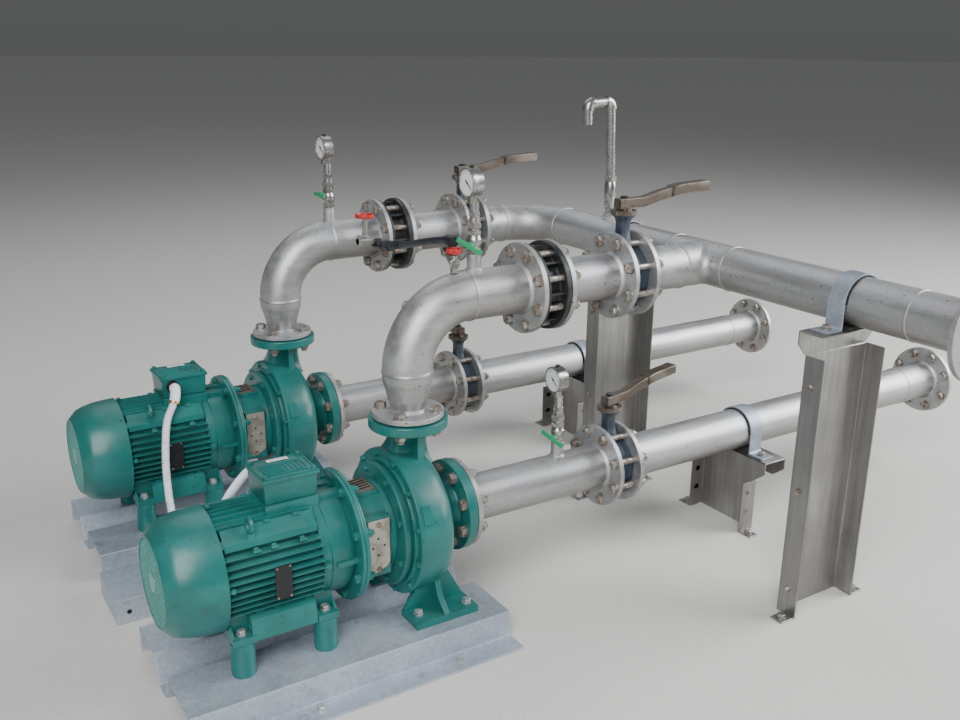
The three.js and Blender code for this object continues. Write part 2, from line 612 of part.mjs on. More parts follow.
// Bypass pipe between the two stop valves: flexible pipe with a fitting at each end.
const BYPASS = [
  [140.5, 41, 905], [144, 60, 903], [165, 100, 895], [192, 240, 866], [215, 380, 833],
  [240, 544, 798], [258, 620, 784], [263, 640, 782],
];
function bypassPipe() {
  const pipe = solidOf(followed(drawnThrough(BYPASS), 9, 8, 16));
  const nut = solidOf(followed(drawnThrough([[253, 592, 789], [241, 540, 798.5]]), 15, 10, 1));
  const sleeve = solidOf(followed(drawnThrough([[243, 550, 797], [225, 446, 821]]), 12, 8, 1));
  const [near, far] = [BYPASS[0], BYPASS[BYPASS.length - 1]];
  const riser = solidOf(bar('z', 10, NEAR_VALVE.z + 12 + GAP, near[2] + 10, [near[0], near[1], 0]));
  const nearNut = solidOf(bar('y', 13, near[1] - 9, near[1] + 26, [near[0] + 1, 0, near[2] - 1]));
  const elbow = solidOf(bar('x', 12, FAR_VALVE.x + 24 + GAP, far[0] + 12,
    [0, FAR_VALVE.y, FAR_VALVE.z - 8]));
  const farNut = solidOf(bar('y', 12.5, FAR_VALVE.y - 40, FAR_VALVE.y + 4, [far[0], 0, far[2]]));
  return join(pipe, nut, sleeve, riser, nearNut, elbow, farNut);
}

// Conduit from a terminal box down to the duct, drawn through chosen points.
function conduit(points) {
  return solidOf(followed(drawnThrough(points), 10.5, 8, 20));
}

const NEAR_CONDUIT = [
  [-338, 66 + GAP, 440], [-338, 76, 440], [-346, 98, 428], [-376, 138, 368], [-392, 190, 292],
  [-402, 258, 206], [-404, 326, 138], [-400, 384, 108], [-399, 398, 96], [-399, 398, DUCT_TOP + 20 + GAP],
];
const FAR_CONDUIT = [
  [-338, LINE_PITCH - 66 - GAP, 440], [-338, 688, 440], [-346, 672, 416], [-376, 650, 368],
  [-394, 622, 302], [-403, 600, 223], [-408, 556, 146], [-405, 500, 108], [-400, 466, 106],
  [-399, 452, 96], [-399, 452, DUCT_TOP + 20 + GAP],
];

const set = new THREE.Group();
set.position.set(-CENTRE_X, -CENTRE_Y, 0);

for (const side of ['near', 'far']) {
  const line = new THREE.Group();
  line.position.set(0, side === 'near' ? 0 : LINE_PITCH, 0);
  set.add(line);
  const shaft = [0, 0, SHAFT_HEIGHT];
  const pipeLevel = [0, 0, DISCHARGE_HEIGHT];
  const gaugeX = DISCHARGE_GAUGE_X[side];
  piece(line, `${side}_baseplate`, basePlate(), galvanised);
  piece(line, `${side}_pump_casing`, pumpCasing(), greenPaint, shaft);
  piece(line, `${side}_lantern`, lantern(), greenPaint, shaft);
  piece(line, `${side}_motor_frame`, motorFrame(), greenPaint, shaft);
  piece(line, `${side}_fan_cowl`, fanCowl(), greenPaint, shaft);
  piece(line, `${side}_terminal_box`, terminalBox(side === 'near' ? 1 : -1), greenPaint, shaft);
  piece(line, `${side}_suction_spool`, suctionSpool(), stainless, shaft);
  piece(line, `${side}_suction_valve`, valveBody(), valveBlue, [SUCTION_VALVE_X, 0, SHAFT_HEIGHT]);
  piece(line, `${side}_suction_lever`, lever(), stainless, [SUCTION_VALVE_X, 0, SHAFT_HEIGHT],
    SUCTION_LEVER_TURN[side]);
  const suctionCock = side === 'near' ? COCK.nearSuction : COCK.far;
  const dischargeCock = side === 'near' ? COCK.nearDischarge : COCK.far;
  piece(line, `${side}_suction_gauge`, gauge(DIAL_HEIGHT.suction, suctionCock), stainless,
    [GAUGE_X, 0, SHAFT_HEIGHT]);
  piece(line, `${side}_suction_cock`, cockHandle(suctionCock), greenPlastic,
    [GAUGE_X, 0, SHAFT_HEIGHT + suctionCock.height]);
  piece(line, `${side}_suction_pipe`, suctionPipe(), stainless, shaft);
  piece(line, `${side}_suction_stub`, suctionStub(), stainless, shaft);
  piece(line, `${side}_suction_support`, lowSupport(), brushedSheet);
  piece(line, `${side}_suction_strap`, strap(), galvanised, [1093, 0, SHAFT_HEIGHT]);
  piece(line, `${side}_discharge_bend`, dischargeBend(gaugeX), stainless, pipeLevel);
  piece(line, `${side}_check_valve`, checkValve(), blackRubber, pipeLevel);
  piece(line, `${side}_discharge_spool`, dischargeSpool(), stainless, pipeLevel);
  piece(line, `${side}_discharge_valve`, valveBody(), valveBlue, [DISCHARGE_VALVE_X, 0, DISCHARGE_HEIGHT]);
  piece(line, `${side}_discharge_lever`, lever(), stainless, [DISCHARGE_VALVE_X, 0, DISCHARGE_HEIGHT]);
  piece(line, `${side}_discharge_gauge`, gauge(DIAL_HEIGHT[side], dischargeCock), stainless,
    [gaugeX, 0, DISCHARGE_HEIGHT]);
  piece(line, `${side}_discharge_cock`, cockHandle(dischargeCock), greenPlastic,
    [gaugeX, 0, DISCHARGE_HEIGHT + dischargeCock.height]);
}
const nearValve = new THREE.Group();
nearValve.position.set(NEAR_VALVE.x, NEAR_VALVE.y, NEAR_VALVE.z);
nearValve.rotation.z = THREE.MathUtils.degToRad(NEAR_VALVE.turn);
set.add(nearValve);
piece(nearValve, 'near_stop_valve', stopValve(bar('z', 9, -22.4, 0), 14, 56), stainless);
piece(nearValve, 'near_handwheel', handwheel(18, BONNET_TOP), redPlastic);
const farValve = new THREE.Group();
farValve.position.set(FAR_VALVE.x, FAR_VALVE.y, FAR_VALVE.z);
farValve.rotation.z = -Math.PI / 2;
set.add(farValve);
const farBonnetTop = BONNET_TOP + FAR_STEM;
piece(farValve, 'far_stop_valve', stopValve(bar('x', 10, -41.5, 0), 24, 24, farBonnetTop), stainless);
piece(farValve, 'far_handwheel', handwheel(28, farBonnetTop), redPlastic);
piece(set, 'header', header(), stainless, [0, 0, DISCHARGE_HEIGHT]);
piece(set, 'header_stub', headerStub(), stainless, [0, 0, DISCHARGE_HEIGHT]);
piece(set, 'vent_stack', ventStack(), stainless, [HEADER_X, VENT_Y, DISCHARGE_HEIGHT]);
for (const [name, y] of [['front', -438], ['middle', 359]]) {
  const stand = new THREE.Group();
  stand.position.set(HEADER_X, y, 0);
  set.add(stand);
  piece(stand, `${name}_support`, tallSupport(), brushedSheet);
  const over = new THREE.Group();
  over.position.set(0, -37, DISCHARGE_HEIGHT);
  over.rotation.z = Math.PI / 2;
  stand.add(over);
  piece(over, `${name}_strap`, strap(), galvanised);
}
piece(set, 'cable_duct', cableDuct(), galvanised);
piece(set, 'bypass_pipe', bypassPipe(), blackRubber);
piece(set, 'near_conduit', conduit(NEAR_CONDUIT), whitePlastic);
piece(set, 'far_conduit', conduit(FAR_CONDUIT), whitePlastic);

export default set;
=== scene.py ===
"""Looks of the duplex pump set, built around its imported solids."""

import math

import bpy
from mathutils import Matrix, Vector


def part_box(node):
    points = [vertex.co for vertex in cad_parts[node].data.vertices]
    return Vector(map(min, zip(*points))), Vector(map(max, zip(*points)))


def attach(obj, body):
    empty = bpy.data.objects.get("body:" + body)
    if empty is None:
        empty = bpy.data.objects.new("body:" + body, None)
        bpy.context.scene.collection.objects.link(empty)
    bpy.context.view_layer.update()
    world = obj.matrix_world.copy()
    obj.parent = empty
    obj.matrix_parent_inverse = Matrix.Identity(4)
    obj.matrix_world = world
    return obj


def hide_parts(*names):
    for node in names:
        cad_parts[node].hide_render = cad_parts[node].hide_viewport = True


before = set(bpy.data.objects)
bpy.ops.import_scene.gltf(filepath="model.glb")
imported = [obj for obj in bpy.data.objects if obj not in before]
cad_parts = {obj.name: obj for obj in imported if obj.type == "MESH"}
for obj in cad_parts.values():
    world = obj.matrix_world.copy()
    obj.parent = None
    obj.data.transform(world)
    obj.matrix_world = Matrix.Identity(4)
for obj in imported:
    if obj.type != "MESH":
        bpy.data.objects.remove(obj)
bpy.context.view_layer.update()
SET = "pump_set"

# Viewpoint, floor and light. The camera stands where the photograph was taken, beyond the fan
# ends on the near side and a little higher than the air vent. The floor is plain and pale, and
# large soft lights stand in for the open sky past a roof's edge.
LENS, SENSOR, FARTHEST = 37.26, 36.0, 200.0
EYE_X, EYE_BEFORE_SHAFT, EYE_HEIGHT = -1.6651, 1.8723, 1.3316
HEADING, DIP, ROLL = math.radians(57.553), math.radians(17.670), 0.0101
FLOOR_REACH = 90.0


def middle(solid, axis):
    """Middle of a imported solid's box along an axis."""
    low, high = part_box(solid)
    return (getattr(low, axis) + getattr(high, axis)) / 2


def linked(name, data):
    """A new object in the scene."""
    made = bpy.data.objects.new(name, data)
    bpy.context.scene.collection.objects.link(made)
    return made


NEAR_Y, FAR_Y = (middle(f"{side}_pump_casing", "y") for side in ("near", "far"))
camera = bpy.data.cameras.new("viewpoint")
camera.sensor_width, camera.lens, camera.clip_end = SENSOR, LENS, FARTHEST
viewpoint = linked("viewpoint", camera)
forward = Vector((
    math.cos(DIP) * math.cos(HEADING), math.cos(DIP) * math.sin(HEADING), -math.sin(DIP)))
level = Vector((math.sin(HEADING), -math.cos(HEADING), 0))
upright = level.cross(forward)
across = math.cos(ROLL) * level + math.sin(ROLL) * upright
above = math.cos(ROLL) * upright - math.sin(ROLL) * level
viewpoint.matrix_world = Matrix((across, above, -forward)).transposed().to_4x4()
viewpoint.location = (EYE_X, NEAR_Y - EYE_BEFORE_SHAFT, EYE_HEIGHT)
bpy.context.scene.camera = viewpoint


def shader(name, color, roughness, metallic=0.0, **plain):
    """A new material with its node tree, its Principled shader and the shader's plain values."""
    made = bpy.data.materials.new(name)
    made.use_nodes = True
    tree = made.node_tree
    surface = tree.nodes["Principled BSDF"]
    surface.inputs["Base Color"].default_value = (*color, 1)
    surface.inputs["Roughness"].default_value = roughness
    surface.inputs["Metallic"].default_value = metallic
    for label, value in plain.items():
        surface.inputs[label.replace("_", " ")].default_value = value
    return made, tree, surface


def node(tree, kind, links=(), **settings):
    """A new node: plain settings by name, and links as (input, source socket or value)."""
    made = tree.nodes.new(kind)
    for key, value in settings.items():
        setattr(made, key, value)
    for label, source in links:
        if isinstance(source, bpy.types.NodeSocket):
            tree.links.new(source, made.inputs[label])
        else:
            made.inputs[label].default_value = source
    return made


def ranged(tree, value, low, high, top=1.0, **settings):
    """A value's way from low to high, as 0 to top."""
    return node(tree, "ShaderNodeMapRange", [
        ("Value", value), ("From Min", low), ("From Max", high), ("To Max", top)],
        **settings).outputs[0]


def cloud_group():
    """Soft cloudy mask over a surface, from Low to High, used for stains, dust and mottling."""
    group = bpy.data.node_groups.new("cloud", "ShaderNodeTree")
    for label, kind, value in [
        ("Stretch", "NodeSocketVector", (1, 1, 1)), ("Scale", "NodeSocketFloat", 8),
        ("Low", "NodeSocketFloat", 0.4), ("High", "NodeSocketFloat", 0.6),
    ]:
        socket = group.interface.new_socket(label, in_out="INPUT", socket_type=kind)
        socket.default_value = value
    group.interface.new_socket("Mask", in_out="OUTPUT", socket_type="NodeSocketFloat")
    entry = node(group, "NodeGroupInput")
    place = node(group, "ShaderNodeTexCoord")
    drawn = node(group, "ShaderNodeVectorMath", [
        (0, place.outputs["Object"]), (1, entry.outputs["Stretch"])], operation="MULTIPLY")
    noise = node(group, "ShaderNodeTexNoise", [
        ("Vector", drawn.outputs[0]), ("Scale", entry.outputs["Scale"]), ("Detail", 6.0),
        ("Roughness", 0.6)])
    mask = ranged(group, noise.outputs["Fac"], entry.outputs["Low"], entry.outputs["High"],
                  interpolation_type="SMOOTHSTEP")
    node(group, "NodeGroupOutput", [("Mask", mask)])
    return group


cloud = cloud_group()


def clouded(tree, scale, low, high, stretch=(1, 1, 1)):
    """One cloudy mask in a material."""
    used = node(tree, "ShaderNodeGroup", node_tree=cloud)
    for label, value in zip(("Stretch", "Scale", "Low", "High"), (stretch, scale, low, high)):
        used.inputs[label].default_value = value
    return used.outputs["Mask"]


def blended(tree, mask, first, second):
    """Colour or value that goes from first to second with a mask."""
    kind = "RGBA" if isinstance(second, tuple) else "FLOAT"
    mix = node(tree, "ShaderNodeMix", data_type=kind)
    places = {"RGBA": (6, 7, 2), "FLOAT": (2, 3, 0)}[kind]
    tree.links.new(mask, mix.inputs[0])
    for place, value in zip(places, (first, second)):
        if isinstance(value, bpy.types.NodeSocket):
            tree.links.new(value, mix.inputs[place])
        else:
            mix.inputs[place].default_value = (*value, 1) if kind == "RGBA" else value
    return mix.outputs[places[2]]


def bumped(tree, surface, height, strength, distance):
    """Gives a surface a fine relief."""
    bump = node(tree, "ShaderNodeBump", [
        ("Height", height), ("Strength", strength), ("Distance", distance)])
    tree.links.new(bump.outputs["Normal"], surface.inputs["Normal"])


def feed(tree, surface, label, mask, first, second):
    """Lets an input of the surface go from first to second with a mask."""
    tree.links.new(blended(tree, mask, first, second), surface.inputs[label])


def weathered(name, clean, worn, mask, roughness, metallic=0.0, relief=None, **plain):
    """A finish that turns from clean to worn under one cloudy mask of (scale, low, high).
    Roughness and metallic turn with it where they are pairs; relief is (mask, strength, depth)."""
    made, tree, surface = shader(name, clean, 0.5, **plain)
    cover = clouded(tree, *mask)
    feed(tree, surface, "Base Color", cover, clean, worn)
    for label, value in (("Roughness", roughness), ("Metallic", metallic)):
        if isinstance(value, tuple):
            feed(tree, surface, label, cover, *value)
        else:
            surface.inputs[label].default_value = value
    if relief:
        grain, strength, depth = relief
        bumped(tree, surface, clouded(tree, *grain), strength, depth)
    return made


SPECKS = (150, 0.5, 0.7)
floor_mesh = bpy.data.meshes.new("floor")
floor_mesh.from_pydata([(x * FLOOR_REACH, y * FLOOR_REACH, 0) for x, y in (
    (-1, -1), (1, -1), (1, 1), (-1, 1))], [], [(0, 1, 2, 3)])
floor_mesh.materials.append(weathered(
    "pale_floor", (0.68, 0.655, 0.61), (0.56, 0.535, 0.49), SPECKS, 0.85,
    relief=(SPECKS, 0.1, 0.001)))
floor = linked("floor", floor_mesh)

sky = bpy.data.worlds.new("overcast")
bpy.context.scene.world = sky
sky.use_nodes = True
up = node(sky.node_tree, "ShaderNodeSeparateXYZ", [
    (0, node(sky.node_tree, "ShaderNodeTexCoord").outputs["Generated"])]).outputs[2]
dome = sky.node_tree.nodes["Background"]
dome.inputs["Strength"].default_value = 0.17
feed(sky.node_tree, dome, "Color", ranged(sky.node_tree, up, 0.0, 0.75),
     (0.56, 0.57, 0.58), (1.0, 1.06, 1.14))
for label, power, width, height, place, aim, tint in [
    ("sky_beyond", 520, 4.0, 4.0, (4.6, -2.2, 3.0), (0, 0, 0.4), (0.93, 0.97, 1.0)),
    ("sky_over_fans", 320, 3.0, 4.6, (-3.2, -3.2, 3.6), (-0.4, 0, 0.4), (0.93, 0.975, 1.0)),
    ("sky_behind", 60, 4.0, 4.0, (0.4, 3.2, 4.8), (0, 0, 0.5), (0.90, 0.95, 1.0)),
]:
    lamp = bpy.data.lights.new(label, "AREA")
    lamp.energy, lamp.color = power, tint
    lamp.shape, lamp.size, lamp.size_y = "RECTANGLE", width, height
    holder = linked(label, lamp)
    holder.location = place
    holder.rotation_euler = (Vector(aim) - Vector(place)).to_track_quat("-Z", "Y").to_euler()

# Conduits. Each motor is wired through a ribbed white conduit that leaves the gland of its
# terminal box, sags down between the pumps and enters a gland in the lid of the cable duct.
# They are pushed onto glands with a locknut; the far one has a white elbow and a brass ring.
MM = 0.001
SUCTION_FACE, CHECK_FACE = 125, 310
SEAM = 0.3  # open seam between two pieces that meet
PITCH = (FAR_Y - NEAR_Y) / MM
ORIGIN = Vector((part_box("near_pump_casing")[1].x - SUCTION_FACE * MM, NEAR_Y, 0))
FOOT = {"near": ORIGIN, "far": ORIGIN + Vector((0, FAR_Y - NEAR_Y, 0))}
SHAFT = middle("near_fan_cowl", "z") / MM
PIPE_LEVEL = middle("header_stub", "z") / MM
AT_SHAFT = {side: foot + Vector((0, 0, SHAFT * MM)) for side, foot in FOOT.items()}
AT_PIPE = {side: foot + Vector((0, 0, PIPE_LEVEL * MM)) for side, foot in FOOT.items()}


def belongs(made, body=SET, replaces=()):
    """Names an object's body and the solids that it replaces."""
    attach(made, body)
    for solid in replaces:
        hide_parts(solid)
    return made


def faceted(mesh, sharp):
    """Smooth shading with creases where faces meet at more than the sharp angle."""
    mesh.shade_smooth()
    mesh.set_sharp_from_angle(angle=math.radians(sharp))


def at(x, y, z):
    return Matrix.Translation((x, y, z))


def about(axis, degrees):
    return Matrix.Rotation(math.radians(degrees), 4, axis)


def turns(count):
    """Even angles round a full turn."""
    return [2 * math.pi * k / count for k in range(count)]


class Form:
    """A closed shape under construction, in millimetres from a foot point on the floor."""

    def __init__(self):
        self.points, self.faces, self.heat = [], [], []

    def add(self, points, faces, place=None, heat=None):
        start = len(self.points)
        self.points += [place @ Vector(p) if place else Vector(p) for p in points]
        self.faces += [[start + i for i in face] for face in faces]
        self.heat += heat or [0.0] * len(points)
        return self

    def rings(self, rings, closed=False, place=None, heat=None, strip=False):
        """Skins a row of rings; a ring of one point is a pole. Ends are capped unless closed.
        The end of a folded sheet is a strip of quads from its outer to its inner face."""
        points, starts, faces = [], [], []
        for ring in rings:
            starts.append(len(points))
            points += ring
        count = max(len(ring) for ring in rings)
        last = len(rings)
        for i in range(last if closed else last - 1):
            a, b = starts[i], starts[(i + 1) % last]
            one_a, one_b = len(rings[i]) == 1, len(rings[(i + 1) % last]) == 1
            for k in range(count):
                n = (k + 1) % count
                if one_a:
                    faces.append((a, b + n, b + k))
                elif one_b:
                    faces.append((a + k, a + n, b))
                else:
                    faces.append((a + k, a + n, b + n, b + k))
        cap = [(i, i + 1, count - 2 - i, count - 1 - i) for i in range(count // 2 - 1)]
        cap = cap if strip else [tuple(range(count))]
        if not closed and len(rings[0]) > 1:
            faces += [tuple(starts[0] + i for i in reversed(face)) for face in cap]
        if not closed and len(rings[-1]) > 1:
            faces += [tuple(starts[-1] + i for i in face) for face in cap]
        spread = [h for ring, h in zip(rings, heat) for _ in ring] if heat else None
        return self.add(points, faces, place, spread)

    def turned(self, axis, profile, place=None, sides=64, closed=False, heat=None):
        """Profile of (station, radius) turned about the x, y or z axis."""
        frames = {"x": ((1, 0, 0), (0, 1, 0), (0, 0, 1)), "y": ((0, 1, 0), (0, 0, 1), (1, 0, 0)),
                  "z": ((0, 0, 1), (1, 0, 0), (0, 1, 0))}
        along, side, other = (Vector(v) for v in frames[axis])
        rings = [
            [along * s] if r == 0 else
            [along * s + r * (math.cos(t) * side + math.sin(t) * other) for t in turns(sides)]
            for s, r in profile]
        return self.rings(rings, closed, place, heat)

    def swept(self, route, radius, sides=16, heat=None, closed=False):
        """Round bar along a route; radius is one value or one for each point."""
        sizes = radius if isinstance(radius, list) else [radius] * len(route)
        steps = [(route[min(i + 1, len(route) - 1)] - route[max(i - 1, 0)]).normalized()
                 for i in range(len(route))]
        side = steps[0].orthogonal().normalized()
        rings = []
        for point, step, size in zip(route, steps, sizes):
            side = (side - step * side.dot(step)).normalized()
            other = step.cross(side)
            rings.append([point + size * (math.cos(t) * side + math.sin(t) * other)
                          for t in turns(sides)])
        return self.rings(rings, closed, None, heat)

    def pushed(self, axis, outline, start, end, place=None, strip=False):
        """Flat outline pushed along an axis."""
        lay = {"x": lambda u, v, s: (s, u, v), "y": lambda u, v, s: (u, s, v),
               "z": lambda u, v, s: (u, v, s)}[axis]
        area = sum(a[0] * b[1] - b[0] * a[1] for a, b in zip(outline, outline[1:] + outline[:1]))
        path = outline if (area > 0) != (axis == "y") else outline[::-1]
        return self.rings([[Vector(lay(u, v, s)) for u, v in path] for s in sorted((start, end))],
                          place=place, strip=strip)

    def spun(self, axis, profile, place=None, sides=64):
        """A profile turned to a solid: both its ends are closed down to the axis."""
        return self.turned(axis, [(profile[0][0], 0), *profile, (profile[-1][0], 0)], place, sides)

    def rod(self, axis, start, end, radius, place=None, sides=64):
        """Plain round bar."""
        return self.spun(axis, [(start, radius), (end, radius)], place, sides)

    def block(self, one, other, place=None):
        """Box between two opposite corners."""
        low, high = zip(*(sorted(pair) for pair in zip(one, other)))
        corners = [(low[0], low[1]), (high[0], low[1]), (high[0], high[1]), (low[0], high[1])]
        return self.pushed("z", corners, low[2], high[2], place)

    def moved(self, place):
        self.points = [place @ p for p in self.points]
        return self

    def mesh(self, name, foot=Vector()):
        """Plain mesh in metres, from its foot point."""
        made = bpy.data.meshes.new(name)
        made.from_pydata([foot + p * MM for p in self.points], [], self.faces)
        return made

    def piece(self, name, finish, foot, slot, body=SET, replaces=(), soften=0.0, sharp=32):
        """Makes the object, in place: its edges softened, its finish given and its body set."""
        mesh = self.mesh(name, foot)
        mesh.materials.append(finish)
        if any(self.heat):
            mesh.attributes.new("heat", "FLOAT", "POINT").data.foreach_set("value", self.heat)
        faceted(mesh, sharp)
        made = linked(name, mesh)
        if soften:
            edge = made.modifiers.new("softened edges", "BEVEL")
            edge.width, edge.segments, edge.limit_method = soften * MM, 2, "ANGLE"
            edge.angle_limit = math.radians(sharp)
            edge.harden_normals = True
        return belongs(made, body, replaces)


def drawn_through(points, per_span):
    """Smooth route through chosen points: a centripetal Catmull-Rom curve."""
    knots = [Vector(p) for p in points]
    ends = [2 * knots[0] - knots[1], 2 * knots[-1] - knots[-2]]
    line = [ends[0], *knots, ends[1]]
    route = []
    for a, b, c, d in zip(line, line[1:], line[2:], line[3:]):
        gaps = [max((q - p).length ** 0.5, 1e-6) for p, q in ((a, b), (b, c), (c, d))]
        first = ((b - a) / gaps[0] - (c - a) / (gaps[0] + gaps[1]) + (c - b) / gaps[1]) * gaps[1]
        last = ((c - b) / gaps[1] - (d - b) / (gaps[1] + gaps[2]) + (d - c) / gaps[2]) * gaps[1]
        for k in range(per_span):
            t = k / per_span
            route.append((2 * t**3 - 3 * t**2 + 1) * b + (t**3 - 2 * t**2 + t) * first
                         + (3 * t**2 - 2 * t**3) * c + (t**3 - t**2) * last)
    return [*route, knots[-1]]


def walked(route, step):
    """The same route with points an even step apart."""
    out, carry = [route[0]], 0.0
    for a, b in zip(route, route[1:]):
        span = (b - a).length
        place = step - carry
        while place <= span:
            out.append(a.lerp(b, place / span))
            place += step
        carry = (carry + span) % step
    if (route[-1] - out[-1]).length > 0.3 * step:
        out.append(route[-1])
    else:
        out[-1] = route[-1]
    return out


def tint_and_painted_light_of(tree):
    """The mark that meshes carry: heat tint beside welds, and painted light: painted shade in the
    conduit's grooves, at fin roots and on the motor frame between the fins, and a painted highlight
    on the fin tips.
    """
    return node(tree, "ShaderNodeAttribute", attribute_name="heat").outputs["Fac"]


def conduit_plastic():
    made, tree, surface = shader("conduit_plastic", (0.74, 0.76, 0.76), 0.42)
    dust = clouded(tree, 40, 0.45, 0.7)
    tone = blended(tree, dust, (0.88, 0.90, 0.94), (0.74, 0.75, 0.76))
    # Painted shade: the grooves between the ribs turn near black.
    feed(tree, surface, "Base Color", tint_and_painted_light_of(tree), tone, (0.03, 0.035, 0.05))
    return made


conduit_white = conduit_plastic()
black_plastic = weathered("black_fitting", (0.012, 0.012, 0.013), (0.05, 0.048, 0.045),
                          (60, 0.5, 0.72), (0.38, 0.6))
brass = shader("brass", (0.62, 0.42, 0.12), 0.3, 0.9)[0]
CONDUIT_R = 10.5
RIB_PITCH = 5.0
GROOVE = [0, 0, 0.5, 1, 0.5]
GROOVE_DEPTH = 2.6
GLAND_END = 66
GLAND_X, GLAND_Z = -338, 440
DUCT_ENTRY = 84.3
CONDUIT_ROUTE = {
    "near": [
        (GLAND_X, GLAND_END + SEAM, GLAND_Z), (-338, 76, 440), (-346, 98, 428), (-376, 138, 368),
        (-392, 190, 292), (-402, 258, 206), (-404, 326, 138), (-400, 384, 108), (-399, 398, 96),
        (-399, 398, DUCT_ENTRY)],
    "far": [
        (GLAND_X, PITCH - GLAND_END - SEAM, GLAND_Z), (-338, 688, 440), (-346, 672, 416),
        (-376, 650, 368), (-394, 622, 302), (-403, 600, 223), (-408, 556, 146), (-405, 500, 108),
        (-400, 466, 106), (-399, 452, 96), (-399, 452, DUCT_ENTRY)],
}
for side, points in CONDUIT_ROUTE.items():
    line = walked(drawn_through(points, 12), RIB_PITCH / len(GROOVE))
    # The groove profile sets both the depth of each groove and its painted shade.
    groove = [GROOVE[i % len(GROOVE)] for i in range(len(line))]
    ribs = [CONDUIT_R - GROOVE_DEPTH * depth for depth in groove]
    tube = Form().swept(line, ribs, sides=18, heat=groove).piece(
        f"{side}_conduit_tube", conduit_white, ORIGIN, "white_plastic",
        replaces=[f"{side}_conduit"], sharp=80)
elbow = drawn_through(CONDUIT_ROUTE["far"][:4], 8)[:18]
Form().swept(elbow, 13.5, sides=24).piece("far_conduit_elbow", conduit_white, ORIGIN,
    "white_plastic", sharp=60)
turn_out = (elbow[-1] - elbow[-2]).normalized()
Form().swept([elbow[-1] - turn_out, elbow[-1] + 5 * turn_out], 14.5, sides=24).piece(
    "far_conduit_ring", brass, ORIGIN, "white_plastic")

# Base plates. Each pump stands on one 5 mm galvanised sheet, folded into two raised tracks with
# a valley between them and a flat flange on the near side, and bolted down to the floor.
BASE_START, BASE_END, BASE_SHEET, BASE_TOP = -594, 161, 5, 66
BASE_TRACK = [(-256, BASE_SHEET), (-196, BASE_SHEET), (-191, BASE_TOP), (-33, BASE_TOP),
              (-6, BASE_SHEET), (40, BASE_SHEET), (67, BASE_TOP), (191, BASE_TOP), (194, 0)]


def folded(path, thickness):
    """Outline of a folded sheet: the path is its outer face, the sheet lies on its right."""
    inner = []
    for before, here, after in zip([path[0], *path], path, [*path[1:], path[-1]]):
        sides = []
        for p, q in ((before, here), (here, after)):
            length = math.hypot(q[0] - p[0], q[1] - p[1])
            if length:
                sides.append(((q[1] - p[1]) / length, -(q[0] - p[0]) / length))
        u, v = (sum(side[k] for side in sides) / len(sides) for k in (0, 1))
        scale = thickness / (u * u + v * v)
        inner.append((here[0] + u * scale, here[1] + v * scale))
    return [*path, *reversed(inner)]


def galvanised(name, low, high, roughness):
    """Zinc coat: pale blue-grey, with soft patches, small crystals and a little grime."""
    made, tree, surface = shader(name, low, roughness, 0.55)
    patches = clouded(tree, 5, 0.35, 0.68)
    place = node(tree, "ShaderNodeTexCoord")
    crystals = node(tree, "ShaderNodeTexVoronoi", [
        ("Vector", place.outputs["Object"]), ("Scale", 130)])
    tone = node(tree, "ShaderNodeSeparateColor", [(0, crystals.outputs["Color"])])
    zinc = blended(tree, patches, low, high)
    mottled = node(tree, "ShaderNodeMix", data_type="RGBA", blend_type="OVERLAY")
    mottled.inputs[0].default_value = 0.10
    tree.links.new(zinc, mottled.inputs[6])
    tree.links.new(tone.outputs[0], mottled.inputs[7])
    grime = clouded(tree, 14, 0.58, 0.78)
    feed(tree, surface, "Base Color", grime, mottled.outputs[2], (0.26, 0.26, 0.27))
    feed(tree, surface, "Roughness", patches, roughness - 0.08, roughness + 0.1)
    bumped(tree, surface, tone.outputs[1], 0.06, 0.0006)
    return made


zinc_sheet = galvanised("zinc_sheet", (0.43, 0.47, 0.54), (0.52, 0.56, 0.63), 0.50)
BLOOM = ((70, 0.42, 0.64), (0.34, 0.7), (0.9, 0.3))
bolt_finish = weathered("bolt_steel", (0.44, 0.41, 0.38), (0.17, 0.11, 0.075), *BLOOM)
bolt_zinc = weathered("bolt_zinc", (0.60, 0.61, 0.62), (0.36, 0.35, 0.33), *BLOOM)
THREAD = {size: dict(zip(("Hexagon", "Head", "Washer", "Shank", "Nut", "Tip"), parts))
          for size, parts in {
              16: (0.0139, 0.010, 0.0025, 0.008, 0.013, 0.007),
              12: (0.0104, 0.0075, 0.0025, 0.006, 0.010, 0.006),
              8: (0.0075, 0.0053, 0.0016, 0.004, 0.0065, 0.004),
              6: (0.0058, 0.004, 0.0012, 0.003, 0.005, 0.003),
              3: (0.0022, 0.0012, 0.0004, 0.0015, 0.002, 0.001)}.items()}
CROWN = 0.18
UP = (0, 0, 1)


def growth(name, sizes):
    """A Geometry Nodes tree with named sizes and a finish as inputs."""
    tree = bpy.data.node_groups.new(name, "GeometryNodeTree")
    tree.interface.new_socket("Geometry", in_out="INPUT", socket_type="NodeSocketGeometry")
    for label, value in sizes.items():
        kind = "NodeSocketInt" if isinstance(value, int) else "NodeSocketFloat"
        tree.interface.new_socket(label, in_out="INPUT", socket_type=kind).default_value = value
    tree.interface.new_socket("Finish", in_out="INPUT", socket_type="NodeSocketMaterial")
    tree.interface.new_socket("Geometry", in_out="OUTPUT", socket_type="NodeSocketGeometry")
    return tree, node(tree, "NodeGroupInput").outputs


def counted(tree, operation, *values):
    return node(tree, "ShaderNodeMath", enumerate(values), operation=operation).outputs[0]


def raised(tree, shape, height):
    """Geometry moved along its own Z."""
    step = node(tree, "ShaderNodeCombineXYZ", [("Z", height)])
    return node(tree, "GeometryNodeTransform", [
        ("Geometry", shape.outputs[0]), ("Translation", step.outputs[0])]).outputs[0]


